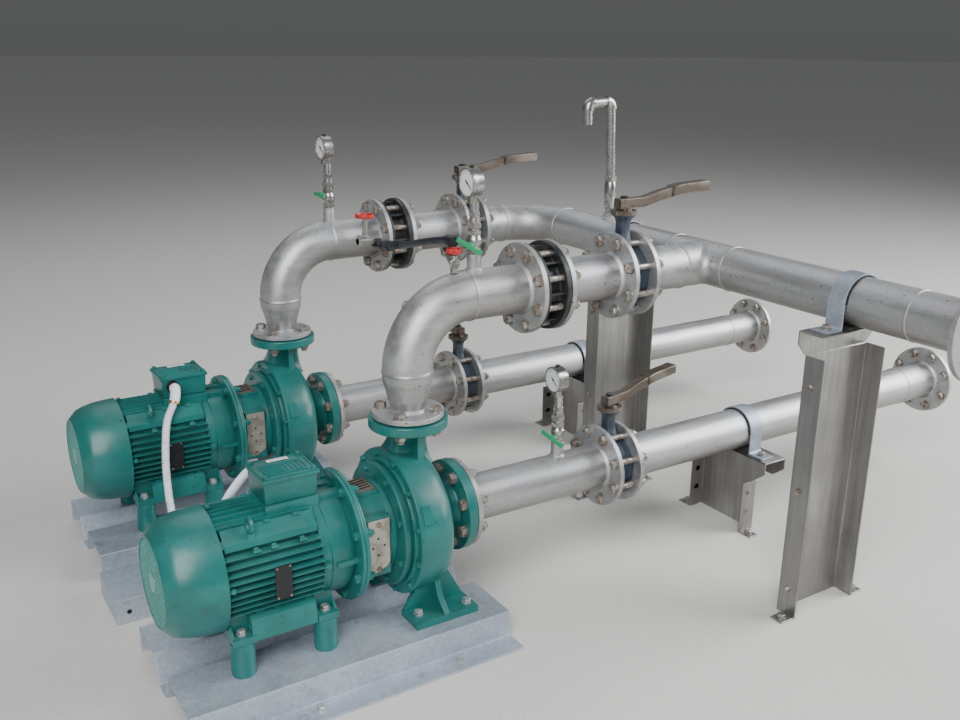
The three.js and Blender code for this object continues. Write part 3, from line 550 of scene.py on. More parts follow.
def rolled(tree, shape, angle):
    """Geometry turned about X."""
    turn = node(tree, "ShaderNodeCombineXYZ", [("X", angle)])
    return node(tree, "GeometryNodeTransform", [
        ("Geometry", shape), ("Rotation", turn.outputs[0])]).outputs[0]


def joined(tree, parts):
    whole = node(tree, "GeometryNodeJoinGeometry")
    for part in parts:
        tree.links.new(part, whole.inputs[0])
    return whole.outputs[0]


def copied(tree, points, shape, **how):
    """Real copies of a shape on points, with their Rotation or Scale."""
    copies = node(tree, "GeometryNodeInstanceOnPoints", [
        ("Points", points), ("Instance", shape), *how.items()])
    return node(tree, "GeometryNodeRealizeInstances", [("Geometry", copies.outputs[0])]).outputs[0]


def finished(tree, size, shapes):
    """Ends a tree with its shapes in the finish asked for."""
    done = node(tree, "GeometryNodeSetMaterial", [
        ("Geometry", shapes), ("Material", size["Finish"])])
    node(tree, "NodeGroupOutput", [("Geometry", done.outputs[0])])
    return tree


def hexagon(tree, radius, height, base):
    """Hexagon with a chamfered crown, from its base up."""
    flats = node(tree, "GeometryNodeMeshCylinder", [
        ("Vertices", 6), ("Radius", radius),
        ("Depth", counted(tree, "MULTIPLY", height, 1 - CROWN))])
    crown = node(tree, "GeometryNodeMeshCone", [
        ("Vertices", 6), ("Radius Top", counted(tree, "MULTIPLY", radius, 0.84)),
        ("Radius Bottom", radius), ("Depth", counted(tree, "MULTIPLY", height, CROWN))])
    return [raised(tree, shape, counted(tree, "MULTIPLY_ADD", height, part, base))
            for shape, part in ((flats, (1 - CROWN) / 2), (crown, 1 - CROWN))]


def disc(tree, radius, height, base, sides=20):
    made = node(tree, "GeometryNodeMeshCylinder", [
        ("Vertices", sides), ("Radius", radius), ("Depth", height)])
    return raised(tree, made, counted(tree, "MULTIPLY_ADD", height, 0.5, base))


def fastener_tree(name, with_nut):
    """One bolt at each point: head outside, shank along the point's direction, nut and tip."""
    tree, size = growth(name, {**THREAD[16], "Grip": 0.04, "Seed": 3})
    wide = counted(tree, "MULTIPLY", size["Hexagon"], 1.1)
    parts = [disc(tree, wide, size["Washer"], 0.0),
             *hexagon(tree, size["Hexagon"], size["Head"], size["Washer"])]
    if with_nut:
        after = counted(tree, "ADD", size["Grip"], size["Washer"])
        end = counted(tree, "ADD", counted(tree, "ADD", after, size["Nut"]), size["Tip"])
        parts.append(rolled(tree, joined(tree, [
            disc(tree, wide, size["Washer"], size["Grip"]),
            *hexagon(tree, size["Hexagon"], size["Nut"], after),
            disc(tree, size["Shank"], end, 0.0, 14)]), math.pi))
    outward = node(tree, "GeometryNodeInputNamedAttribute", [("Name", "along")],
                   data_type="FLOAT_VECTOR")
    faced = node(tree, "FunctionNodeAlignRotationToVector", [("Vector", outward.outputs[0])],
        axis="Z")
    spin = node(tree, "FunctionNodeRandomValue", [("Seed", size["Seed"])], data_type="FLOAT")
    twist = node(tree, "FunctionNodeAxisAngleToRotation", [
        ("Angle", counted(tree, "MULTIPLY", spin.outputs[1], 1.05))])
    posed = node(tree, "FunctionNodeRotateRotation", [
        ("Rotation", faced.outputs[0]), ("Rotate By", twist.outputs[0])], rotation_space="LOCAL")
    return finished(tree, size, copied(
        tree, size["Geometry"], joined(tree, parts), Rotation=posed.outputs[0]))


def grown(name, seed_mesh, tree, finish, sizes):
    """Runs a tree on a mesh of points or of one master shape and keeps the plain result."""
    holder = linked(name, seed_mesh)
    pattern = holder.modifiers.new("pattern", "NODES")
    pattern.node_group = tree
    given = {**sizes, "Finish": finish}
    for item in tree.interface.items_tree:
        if item.in_out == "INPUT" and item.name in given:
            pattern[item.identifier] = given[item.name]
    bpy.context.view_layer.update()
    state = bpy.context.evaluated_depsgraph_get()
    mesh = bpy.data.meshes.new_from_object(
        holder.evaluated_get(state), preserve_all_data_layers=True, depsgraph=state)
    bpy.data.objects.remove(holder)
    faceted(mesh, 35)
    return belongs(linked(name, mesh))


through_bolt = fastener_tree("bolt with nut", True)
cap_screw = fastener_tree("cap screw", False)


def bolts(name, places, thread, grip=0.0, foot=ORIGIN, finish=None, slot="stainless_fitting"):
    """Bolts or screws: each place is (seat of the head, direction that the head faces)."""
    mesh = bpy.data.meshes.new(name)
    mesh.from_pydata([foot + Vector(p) * MM for p, _ in places], [], [])
    mesh.attributes.new("along", "FLOAT_VECTOR", "POINT").data.foreach_set(
        "vector", [value for _, along in places for value in along])
    tree = through_bolt if grip else cap_screw
    return grown(name, mesh, tree, finish or bolt_finish, {**THREAD[thread], "Grip": grip * MM})


def around(axis, station, radius, count, first, face=1):
    """Places on a bolt circle across an axis, with the heads facing along it."""
    out = []
    for k in range(count):
        angle = math.radians(first + 360 * k / count)
        u, v = radius * math.cos(angle), radius * math.sin(angle)
        place = {"x": (station, u, v), "y": (u, station, v), "z": (u, v, station)}[axis]
        out.append((place, tuple(face * (axis == name) for name in "xyz")))
    return out


for side, foot in FOOT.items():
    Form().pushed("x", folded(BASE_TRACK, BASE_SHEET), BASE_START, BASE_END, strip=True).piece(
        f"{side}_folded_base", zinc_sheet, foot, "galvanised_sheet",
        replaces=[f"{side}_baseplate"], soften=3.5, sharp=20)
    bolts(f"{side}_floor_bolts", [((x, y, BASE_SHEET), UP) for x, y in (
        (8, -220), (-330, -220), (-560, -220), (8, 17), (-560, 17))], 12, foot=foot,
          finish=bolt_zinc)

# Pump casings. Each is one grey-iron casting: cover ring, casing ring, volute with its outlet
# neck and stiffening rib, both flanges and two ribbed feet, painted green after machining.
PUMP_FLANGE_R, PUMP_FLANGE_T, OUTLET_FLANGE_R, OUTLET_FLANGE_T = 110, 24, 91, 22
COVER_FACE, OUTLET_FACE, NECK_FOOT, CASTING_EDGE = -85, 250, 138, 2.5
PUMP_BACK = SUCTION_FACE - PUMP_FLANGE_T


def upward(tree):
    """How far the surface faces up, from -1 to 1."""
    facing = node(tree, "ShaderNodeNewGeometry")
    return node(tree, "ShaderNodeSeparateXYZ", [(0, facing.outputs["Normal"])]).outputs[2]


def scaled(tree, mask, part):
    return counted(tree, "MULTIPLY", mask, part)


def machine_paint(name, deep, bright, roughness):
    """Green paint with grime in clouds, dust on upward faces and chips; painted shade at the fin
    roots and on the frame between the fins, and a painted highlight on the fin tips.
    """
    made, tree, surface = shader(name, deep, roughness, 0.0, Coat_Weight=0.3, Coat_Roughness=0.24)
    depth = tint_and_painted_light_of(tree)
    lying = ranged(tree, upward(tree), 0.35, 0.98, interpolation_type="SMOOTHSTEP")
    dust = scaled(tree, lying, clouded(tree, 11, 0.34, 0.66))
    coat = blended(tree, clouded(tree, 9, 0.32, 0.7), deep, bright)
    for mask, color in (
            (scaled(tree, clouded(tree, 22, 0.56, 0.80), 0.4), (0.012, 0.055, 0.05)),
            (scaled(tree, dust, 0.09), (0.20, 0.19, 0.15)),
            (clouded(tree, 75, 0.665, 0.70), (0.012, 0.05, 0.045)),
            # Painted shade: near black where the mark is positive, at the fin roots and on the
            # frame between the fins.
            (ranged(tree, depth, 0.0, 1.0, 0.93), (0.001, 0.010, 0.010))):
        coat = blended(tree, mask, coat, color)
    # Painted highlight: pale green where the mark goes negative, on the fin tips.
    feed(tree, surface, "Base Color", ranged(tree, depth, 0.0, -1.0), coat, (0.06, 0.36, 0.33))
    feed(tree, surface, "Roughness", dust, roughness, roughness + 0.16)
    bumped(tree, surface, clouded(tree, 160, 0.3, 0.7), 0.10, 0.0008)
    return made


green_paint = machine_paint("machine_green", (0.004, 0.115, 0.102), (0.010, 0.165, 0.15), 0.36)
PAINTED = {"finish": green_paint, "slot": "green_paint"}


def casing_shape():
    shape = Form().spun("x", [
        (COVER_FACE, 142), (-82, 145), (-73, 145), (-71, 143), (-71, 137), (-66, 137), (-66, 150),
        (-64, 152), (-60, 152), (-60, 169), (-57, 172), (-50, 172.5), (-30, 171), (-4, 169),
        (12, 166), (22, 162), (29, 156), (34, 149), (39, 138), (43, 126), (46, 112), (50, 96),
        (55, 83), (61, 74), (68, 68), (78, 64), (PUMP_BACK - 6, 62.5), (PUMP_BACK, 65),
        (PUMP_BACK, PUMP_FLANGE_R - 1.5), (PUMP_BACK + 1.5, PUMP_FLANGE_R),
        (SUCTION_FACE - 1.5, PUMP_FLANGE_R), (SUCTION_FACE, PUMP_FLANGE_R - 1.5)], sides=112)
    top = OUTLET_FACE - OUTLET_FLANGE_T
    shape.spun("z", [
        (top, OUTLET_FLANGE_R - 1.5), (top + 1.5, OUTLET_FLANGE_R),
        (OUTLET_FACE - 1.5, OUTLET_FLANGE_R), (OUTLET_FACE, OUTLET_FLANGE_R - 1.5)], sides=80)
    neck = []
    for k in range(15):
        t = k / 14
        flare = (1 - t) ** 1.6
        ring = []
        for angle in turns(48):
            ux, uy = math.cos(angle), math.sin(angle)
            corner = 1 / max(abs(ux), abs(uy)) ** (0.75 * flare)
            reach_x = 42 + 12 * flare
            reach_y = 41 + 44 * flare if uy > 0 else 40 - 17 * math.sin(math.pi * min(t * 1.3, 1))
            ring.append(Vector((
                corner * reach_x * ux - 4 * flare, corner * reach_y * uy,
                NECK_FOOT + (top + 0.5 - NECK_FOOT) * t)))
        neck.append(ring)
    shape.rings(neck)
    shape.block((-5, -54, NECK_FOOT), (10, -15, top + 0.5))
    for degrees in (25, 155):
        lay = about("X", 90 - degrees)
        shape.block((-48, -21, 160), (-27, 21, 174.5), lay)
        shape.block((-58, -4, 150), (-50, 4, 174), lay @ about("X", 17))
    return shape


def foot_shape(shape, hand):
    sole = BASE_TOP - SHAFT + SEAM
    top = sole + 16
    shape.block((-65, 77 * hand, sole), (97, 154 * hand, top))
    shape.pushed("x", [(hand * 151, top - 0.5), (hand * 70, top - 0.5), (hand * 60, -100),
                       (hand * 90, -100), (hand * 120, top + 30)], 9, 23)
    shape.pushed("y", [(-62, top - 0.5), (94, top - 0.5), (40, -95), (-6, -95)],
                 hand * 76, hand * 90)


for side, shaft in AT_SHAFT.items():
    casting = casing_shape()
    for hand in (-1, 1):
        foot_shape(casting, hand)
    casting.piece(f"{side}_pump_casting", green_paint, shaft, "green_paint",
                  replaces=[f"{side}_pump_casing"], soften=CASTING_EDGE, sharp=38)
    bolts(f"{side}_cover_screws", [
        *around("x", COVER_FACE, 128, 8, 22.5, face=-1), *around("x", -60, 161, 12, 15, face=-1)],
        8, foot=shaft, **PAINTED)
    bolts(f"{side}_foot_bolts", [((x, y, BASE_TOP - SHAFT + 16.3), UP) for x, y in (
        (-41, -115), (80, -128), (-41, 115), (80, 128))], 12, foot=shaft, finish=bolt_zinc)

# Lanterns. A cast drum joins each motor flange to its pump cover; its side windows over the
# shaft seal are closed by bare steel guard plates with drain holes and two screws each.
LANTERN_START, GUARD_OUT = -182, 107
GUARD_HOLES = [(-134, 21), (-119, 2), (-147, 0), (-134, -19)]
ON_EDGE = Matrix(((1, 0, 0, 0), (0, 0, -1, 0), (0, 1, 0, 0), (0, 0, 0, 1)))


STAIN = ((24, 0.42, 0.66), (0.38, 0.62), 0.6)
guard_steel = weathered("guard_plate", (0.50, 0.455, 0.40), (0.33, 0.28, 0.23), *STAIN)
top_guard_steel = weathered("top_guard_plate", (0.26, 0.21, 0.17), (0.14, 0.11, 0.085), *STAIN)
# Painted shade: a near black finish for discs and strips that stand in for shade in openings.
gap_shade = shader("gap_shade", (0.006, 0.007, 0.007), 0.9)[0]


def holed_plate(name, outline, thickness, finish, place, holes=(), hole_r=0.0):
    """Flat plate with round holes, from a filled curve; its face lies across local Z."""
    drawing = bpy.data.curves.new(name, "CURVE")
    drawing.dimensions, drawing.fill_mode = "2D", "BOTH"
    drawing.extrude = thickness / 2 * MM
    rounds = [[(u + hole_r * math.cos(t), v + hole_r * math.sin(t)) for t in turns(20)]
              for u, v in holes]
    for loop in [outline, *rounds]:
        line = drawing.splines.new("POLY")
        line.points.add(len(loop) - 1)
        line.points.foreach_set("co", [c for u, v in loop for c in (u * MM, v * MM, 0, 1)])
        line.use_cyclic_u = True
    holder = linked(name, drawing)
    mesh = bpy.data.meshes.new_from_object(
        holder.evaluated_get(bpy.context.evaluated_depsgraph_get()))
    bpy.data.objects.remove(holder)
    mesh.transform(place)
    mesh.materials.clear()
    mesh.materials.append(finish)
    return belongs(linked(name, mesh))


for side, shaft in AT_SHAFT.items():
    drum = Form().spun("x", [
        (LANTERN_START, 148), (-180, 150), (-174, 150), (-172, 148), (-172, 106), (-169, 102),
        (-97, 102), (-95, 106), (COVER_FACE - SEAM, 106)], sides=96)
    for hand in (-1, 1):
        drum.block((-162, hand * 60, -72), (-102, hand * 103.5, 70))
    drum.block((-156, -40, 80), (-98, 40, 104))
    drum.piece(f"{side}_lantern_drum", green_paint, shaft, "green_paint",
               replaces=[f"{side}_lantern"], soften=1.5)
    Form().block((-152, -34, 104), (-101, 36, 105.8)).piece(
        f"{side}_top_guard", top_guard_steel, shaft, "stainless_sheet", soften=0.4)
    # Painted shade: dark strips on the top guard stand for the shade in its slots.
    slot_shade = Form()
    for y in range(-26, 34, 12):
        slot_shade.pushed("z", [(-147, y), (-147, y + 5), (-107, y + 13), (-107, y + 8)], 105.7, 106.1)
    slot_shade.piece(f"{side}_top_guard_slot_shade", gap_shade, shaft, "stainless_sheet")
    for hand in (-1, 1):
        lay = Matrix.Translation(shaft + Vector((0, hand * (GUARD_OUT - 1.2) * MM, 0))) @ ON_EDGE
        holed_plate(f"{side}_guard_{'near' if hand < 0 else 'far'}", [
            (-158, 66), (-106, 66), (-106, -40), (-112, -50), (-158, -68)],
            2.2, guard_steel, lay, GUARD_HOLES, 2.8)
    dark = Form()
    for x, z in GUARD_HOLES:
        for hand in (-1, 1):
            dark.rod("y", *sorted((hand * 103.3, hand * 105.6)), 2.7, at(x, 0, z), 20)
    dark.piece(f"{side}_guard_hole_shade", gap_shade, shaft, "stainless_sheet")
    bolts(f"{side}_guard_screws", [((-133, hand * GUARD_OUT, z), (0, hand, 0))
                                   for hand in (-1, 1) for z in (54, -54)], 6, foot=shaft)

# Motor frames. Cast frames with thin cooling fins, level on the sides and upright on top, a
# drive-end shield bolted to the lantern, four feet on turned spacers, lugs and a nameplate.
FRAME_START, FIN_START, FIN_END = -490, -481, -268
FRAME_R, FIN_TIP_R, FIN_PITCH = 108, 130, 15.8
PILLARS = [(x, hand * 97) for x in (-449, -262) for hand in (-1, 1)]


def centred_row(tree, size, axis):
    """Points a pitch apart along Y or Z about the origin, and the station of each."""
    span = counted(tree, "MULTIPLY", counted(tree, "SUBTRACT", size["Count"], 1.0), size["Pitch"])
    start = node(tree, "ShaderNodeCombineXYZ", [(axis, counted(tree, "MULTIPLY", span, -0.5))])
    step = node(tree, "ShaderNodeCombineXYZ", [(axis, size["Pitch"])])
    row = node(tree, "GeometryNodeMeshLine", [
        ("Count", size["Count"]), ("Start Location", start.outputs[0]),
        ("Offset", step.outputs[0])])
    place = node(tree, "ShaderNodeSeparateXYZ", [
        (0, node(tree, "GeometryNodeInputPosition").outputs[0])])
    return row.outputs[0], place.outputs["XYZ".index(axis)]


def chord(tree, radius, station):
    """Height of a circle over a station across it."""
    return counted(tree, "SQRT", counted(
        tree, "SUBTRACT", counted(tree, "MULTIPLY", radius, radius),
        counted(tree, "MULTIPLY", station, station)))


def fin_tree():
    """A row of parallel fins on a round frame: copies of one blade, each as tall as it needs."""
    tree, size = growth("cooling fins", {
        "Count": 9, "Pitch": FIN_PITCH * MM, "Root radius": (FRAME_R - 2) * MM,
        "Tip radius": FIN_TIP_R * MM, "Turn": 0.0})
    row, station = centred_row(tree, size, "Y")
    low, high = (chord(tree, size[label], station) for label in ("Root radius", "Tip radius"))
    kept = node(tree, "GeometryNodeStoreNamedAttribute", [
        ("Geometry", row), ("Name", "reach"), ("Value", counted(tree, "SUBTRACT", high, low))],
        data_type="FLOAT", domain="POINT")
    lift = node(tree, "ShaderNodeCombineXYZ", [("Z", low)])
    lifted = node(tree, "GeometryNodeSetPosition", [
        ("Geometry", kept.outputs[0]), ("Offset", lift.outputs[0])])
    stored = node(tree, "GeometryNodeInputNamedAttribute", [("Name", "reach")], data_type="FLOAT")
    grow = node(tree, "ShaderNodeCombineXYZ", [("X", 1.0), ("Y", 1.0), ("Z", stored.outputs[0])])
    fins = copied(tree, lifted.outputs[0], size["Geometry"], Scale=grow.outputs[0])
    return finished(tree, size, joined(tree, [
        rolled(tree, fins, counted(tree, "ADD", size["Turn"], half_turn))
        for half_turn in (0.0, math.pi)]))


def blade():
    """One fin, 1 m tall before it is scaled: thick at its root, thin and rounded at its tip."""
    section = [(-1.7, 0), (-1.1, 930), (-0.7, 975), (0.7, 975), (1.1, 930), (1.7, 0)]
    form = Form().pushed("x", section, FIN_START, FIN_END)
    mesh = form.mesh("blade")
    # Painted shade at the fin's root that fades towards its tip, and a painted highlight on the
    # tip.
    root_shade_tip_highlight = {0: 1.0, 930: 0.25, 975: -1.0}
    mesh.attributes.new("heat", "FLOAT", "POINT").data.foreach_set(
        "value", [root_shade_tip_highlight[round(p.z)] for p in form.points])
    return mesh


def at_angle(shape, low, high, degrees):
    """A block that stands on top of the frame, turned about the shaft; 0 is the near side."""
    shape.block(low, high, about("X", 90 - degrees))


fins = fin_tree()
nameplate_grey = shader("nameplate_grey", (0.016, 0.016, 0.019), 0.40, 0.2)[0]
for side, shaft in AT_SHAFT.items():
    face = LANTERN_START - SEAM
    barrel = [
        (FRAME_START, 0), (FRAME_START, 100), (-488, 102), (-480, 102), (-479, 106),
        (-477, FRAME_R), (FIN_END, FRAME_R), (FIN_END, 115), (FIN_END + 2, 117), (-249.5, 118.8),
        (-249, 117), (-247.4, 117), (-247, 119), (-206, 119), (-200, 117.5), (-191, 112),
        (-191, 148), (-189.5, 150), (face - 1.5, 150), (face, 148), (face, 0)]
    # The frame's surface between the fins is marked for painted shade.
    frame_shape = Form().turned("x", barrel, sides=96,
                                heat=[float(r == FRAME_R) for _, r in barrel])
    frame_shape.block((-366, -52, 90), (-246, 52, 132))
    frame_shape.block((-476, -58, 100), (FIN_END + 4, 58, 113))
    for hand in (-1, 1):
        frame_shape.block((-238, hand * 100, -14), (-190.5, hand * 124, -2))
        frame_shape.block((-269, hand * 100, -7), (-252, hand * 124, 7))
        frame_shape.block((-247, hand * 14, 100), (-190.5, hand * 40, 123))
    for hand in (-1, 1):
        frame_shape.pushed("x", [
            (hand * 119, -131), (hand * 112, -84), (hand * 96, -76), (hand * 60, -62),
            (hand * 60, -100), (hand * 102, -100), (hand * 110, -131)], -431, -287)
        frame_shape.block((-470, hand * 55, -122), (-240, hand * 86, -72))
        panel = [(64, 82), (58, 108), (70, 113), (97, 90), (100, 76), (88, 70)]
        frame_shape.pushed("x", [(hand * u, v) for u, v in panel], -472, -272)
    floor_level = BASE_TOP - SHAFT + SEAM
    for x, y in PILLARS:
        frame_shape.spun("z", [
            (floor_level, 25.2), (floor_level + 1, 26), (-134, 26), (-133, 23), (-131, 23)],
            at(x, y, 0), sides=40)
        hand = math.copysign(1, y)
        frame_shape.block((x - 24, hand * 60, -132), (x + 24, hand * 120, -117))
        frame_shape.block((x - 23, hand * 60, -120), (x + 23, hand * 78, -80))
        for web_end in (x - 24, x + 18):
            frame_shape.pushed("x", [(hand * 112, -118), (hand * 70, -118), (hand * 70, -84)],
                               web_end, web_end + 6)
    for angle in (45, 135, 225, 315):
        at_angle(frame_shape, (-484, -9, 90), (-470, 9, 130.5), angle)
    for hand in (0, 180):
        for x in (-409, -371, -309):
            at_angle(frame_shape, (x - 8, -3, 110), (x + 8, 3, 134), abs(hand - 32))
            at_angle(frame_shape, (x - 5, 3, 110), (x + 5, 9, 130), abs(hand - 32))
        for x in (-371, -307):
            at_angle(frame_shape, (x - 7, -4, 110), (x + 7, 4, 136), abs(hand - 57))
        for x in (-408, -370, -299):
            at_angle(frame_shape, (x - 8, -3, 106), (x + 8, 3, 128), 180 + 38 if hand else 360 - 38)
    frame_shape.piece(f"{side}_motor_casting", green_paint, shaft, "green_paint",
                      replaces=[f"{side}_motor_frame"], soften=1.4, sharp=36)
    for label, count, turn in (("side", 9, math.pi / 2), ("crown", 7, 0.0)):
        made = grown(f"{side}_{label}_fins", blade(), fins, green_paint,
                     {"Count": count, "Turn": turn})
        made.data.transform(Matrix.Translation(shaft))
    ring = [Vector((-413, -84 + 13 * math.cos(t), 117 + 15 * math.sin(t))) for t in turns(28)]
    eye = Form().swept(ring, 5, sides=14, closed=True)
    eye.block((-421, -96, 84), (-405, -72, 104))
    eye.piece(f"{side}_lifting_eye", green_paint, shaft, "green_paint", soften=1.0)
    lay = Matrix.Translation(shaft + Vector((0, -FIN_TIP_R * MM - 0.0012, 0))) @ ON_EDGE
    holed_plate(f"{side}_nameplate", [(-381, -42), (-345, -42), (-345, 34), (-381, 34)],
                2.0, nameplate_grey, lay)
    bolts(f"{side}_nameplate_rivets", [((x, -FIN_TIP_R - 2.2, z), (0, -1, 0))
                                       for x in (-377, -349) for z in (-38, 30)],
          3, foot=shaft)
    bolts(f"{side}_motor_feet_bolts", [((x, y, -117), UP) for x, y in PILLARS], 12, foot=shaft,
          finish=bolt_zinc)
    bolts(f"{side}_motor_flange_bolts", around("x", -191, 134, 8, 22.5, face=-1), 12, grip=19,
          foot=shaft, **PAINTED)
    bolts(f"{side}_shield_screws", [((-261, hand * 124, 0), (0, hand, 0)) for hand in (-1, 1)], 8,
          foot=shaft, **PAINTED)

# Fan cowls. A pressed steel cap slides over the frame's end, held by screws, with a lattice of
# bars in a paler green for painted light, over a dark disc of painted shade in the fan's mouth, and
# a round pad in the middle.
FAN_END, GRILLE_X, BAR_HALF, BAR_LEAN = -597, -595.4, 0.65, 41


def lattice_tree():
    """Parallel bars across a round mouth, each cut to the circle: copies of one master bar."""
    tree, size = growth("lattice bars", {
        "Count": 23, "Pitch": 0.0080, "Mouth radius": 0.095, "Turn": 0.7})
    row, station = centred_row(tree, size, "Z")
    half = chord(tree, size["Mouth radius"], station)
    reach = node(tree, "ShaderNodeCombineXYZ", [("X", 1.0), ("Y", half), ("Z", 1.0)])
    bars = copied(tree, row, size["Geometry"], Scale=reach.outputs[0])
    return finished(tree, size, joined(tree, [
        rolled(tree, bars, counted(tree, "MULTIPLY", size["Turn"], sign)) for sign in (1.0, -1.0)]))


lattice = lattice_tree()
# Painted light: the grille's bars and pad get a paler copy of the machine green, as if lit.
lit_grille_green = machine_paint("lit_grille_green", (0.05, 0.27, 0.23), (0.09, 0.33, 0.29), 0.34)
for side, shaft in AT_SHAFT.items():
    Form().turned("x", [
        (FAN_END, 94), (FAN_END, 98.5), (-595, 100.5), (-576, 119), (-566, 123.5), (-552, 128),
        (-532, 132.5), (-505, 134.8), (-480, 136), (-478, 136), (-478, 134), (-505, 132.8),
        (-532, 130.5), (-552, 126), (-566, 121.5), (-575, 117.5), (-593, 99), (-593, 94)],
        sides=112, closed=True).piece(
        f"{side}_cowl_shell", green_paint, shaft, "green_paint", replaces=[f"{side}_fan_cowl"],
        sharp=40)
    # Painted shade: a dark disc behind the bars stands for the shade inside the fan's mouth.
    Form().rod("x", -590, -588, 99).piece(
        f"{side}_fan_mouth_shade", gap_shade, shaft, "green_paint")
    bar = Form().block((-0.6, -1000, -BAR_HALF), (0.6, 1000, BAR_HALF)).mesh("bar")
    grille = grown(f"{side}_cowl_grille", bar, lattice, lit_grille_green,
                   {"Turn": math.radians(BAR_LEAN)})
    grille.data.transform(Matrix.Translation(shaft + Vector((GRILLE_X * MM, 0, 0))))
    Form().turned("x", [(FAN_END, 0), (FAN_END, 21), (-594, 22.5), (-593, 0)]).piece(
        f"{side}_grille_pad", lit_grille_green, shaft, "green_paint")
    bolts(f"{side}_cowl_screws", [
        ((-470, -133 * math.cos(a), 133 * math.sin(a)), (0, -math.cos(a), math.sin(a)))
        for a in map(math.radians, (3, 93, 183, 273))], 6, foot=shaft, **PAINTED)

# Terminal boxes. Cast boxes on the frames' seats, with an overhanging ribbed lid under four
# screws, a blank white patch on the lid and the conduit's gland on the side of the duct.
BOX_X = -306
LID_CORNERS = [(x, y) for x in (-360, -252) for y in (-44, 44)]
patch_white = weathered("blank_patch", (0.74, 0.74, 0.72), (0.45, 0.44, 0.42), (60, 0.5, 0.7), 0.55)
for side, shaft in AT_SHAFT.items():
    box = Form()
    box.rings([[Vector((BOX_X + u * a, v * b, z)) for u, v in ((-1, -1), (1, -1), (1, 1), (-1, 1))]
               for a, b, z in ((55, 45, 132.3), (58, 48, 136), (60, 50, 184))])
    box.block((-370, -54, 183.5), (-242, 54, 191))
    for k in range(9):
        y = -36 + 7 * k
        reach = 0 if 2 <= k <= 6 else 46
        box.block((BOX_X - 48, y, 190.5), (BOX_X + reach, y + 2, 193.2))
    for k in range(5):
        box.block((-301 + 10 * k, -24, 190.5), (-298 + 10 * k, 12, 193.2))
    for low, high in (((-367, -51), (-245, -48.5)), ((-367, 48.5), (-245, 51)),
                      ((-367, -51), (-364, 51)), ((-248, -51), (-245, 51))):
        box.block((*low, 190.5), (*high, 193))
    for x, y in LID_CORNERS:
        box.rod("z", 190, 194, 6, at(x, y, 0), sides=16)
    box.piece(f"{side}_terminal_housing", green_paint, shaft, "green_paint",
              replaces=[f"{side}_terminal_box"], soften=1.2, sharp=40)
    bolts(f"{side}_lid_screws", [((x, y, 193.5), UP) for x, y in LID_CORNERS], 6, foot=shaft,
        **PAINTED)
    Form().block((-326, 32, 192.7), (-278, 45, 193.4)).piece(
        f"{side}_lid_patch", patch_white, shaft, "white_plastic")
    hand = 1 if side == "near" else -1
    gland = Form()
    for low, high, r, flats in ((49, 53, 17, 40), (53, 61, 15.5, 6), (61, 66, 13, 40)):
        gland.rod("y", *sorted((hand * low, hand * high)), r,
                  at(GLAND_X, 0, GLAND_Z - SHAFT), flats)
    gland.piece(f"{side}_box_gland", black_plastic, shaft, "black_plastic", soften=0.6)

# Suction lines. Stainless DN100 pipe with welded plate flanges: a spool with its gauge socket
# and drain boss from pump to valve, the long pipe behind it, and the end piece, butt-welded on.
PIPE_R, PIPE_BORE_R, FLANGE_R, FLANGE_T, GASKET = 57.15, 54.1, 107.5, 12, 3
SUCTION_VALVE_X, VALVE_T, SUCTION_END, STUB_LENGTH, GAUGE_X = 594, 55, 1950, 150, 428
SOCKET_R, SOCKET_TOP = 16.5, PIPE_R + 39
BOLT_CIRCLE = 89


def pipe_steel(name, stretch):
    """Pickled stainless steel: warm satin grey, fine streaks, brown tint beside bright welds, and
    painted shade on faces that look down.
    """
    made, tree, surface = shader(name, (0.50, 0.48, 0.46), 0.46, 0.82)
    streak = clouded(tree, 42, 0.3, 0.7, stretch)
    fine = clouded(tree, 140, 0.35, 0.65)
    heat = tint_and_painted_light_of(tree)
    bead_mask = ranged(tree, heat, 0.85, 0.95)
    brown = scaled(tree, ranged(tree, heat, 0.0, 0.7), clouded(tree, 16, 0.25, 0.6))
    tone = blended(tree, streak, (0.47, 0.465, 0.47), (0.61, 0.61, 0.62))
    for mask, color in (
            (scaled(tree, clouded(tree, 3.2, 0.40, 0.72), 0.5), (0.41, 0.385, 0.36)),
            (scaled(tree, fine, 0.35), (0.36, 0.345, 0.335)),
            # Painted shade: faces that look down turn a darker brown-grey.
            (scaled(tree, ranged(tree, upward(tree), 0.1, -0.8), 0.7), (0.21, 0.185, 0.165)),
            (brown, (0.23, 0.17, 0.125)), (bead_mask, (0.74, 0.72, 0.70))):
        tone = blended(tree, mask, tone, color)
    feed(tree, surface, "Base Color", clouded(tree, 120, 0.65, 0.69), tone, (0.12, 0.085, 0.06))
    rough = blended(tree, brown, blended(tree, streak, 0.40, 0.54), 0.58)
    feed(tree, surface, "Roughness", bead_mask, rough, 0.24)
    bumped(tree, surface, fine, 0.07, 0.0006)
    return made


steel_x = pipe_steel("pipe_steel_x", (0.08, 1, 1))
steel_y = pipe_steel("pipe_steel_y", (1, 0.08, 1))
black_rubber = weathered("black_rubber", (0.013, 0.013, 0.014), (0.06, 0.055, 0.05),
                         (35, 0.5, 0.75), 0.7)


def weld(station, step=1, radius=PIPE_R, crown=1.9):
    """Rows across a butt weld: bead with tinted metal on both sides."""
    marks = [(-40, 0, 0), (-9, 0, 0.5), (-3.6, 0, 0.75), (-2.4, 0.7, 1), (0, 1, 1),
             (2.4, 0.7, 1), (3.6, 0, 0.75), (9, 0, 0.5), (40, 0, 0)]
    return [(station + step * s, radius + crown * rise, heat) for s, rise, heat in marks]


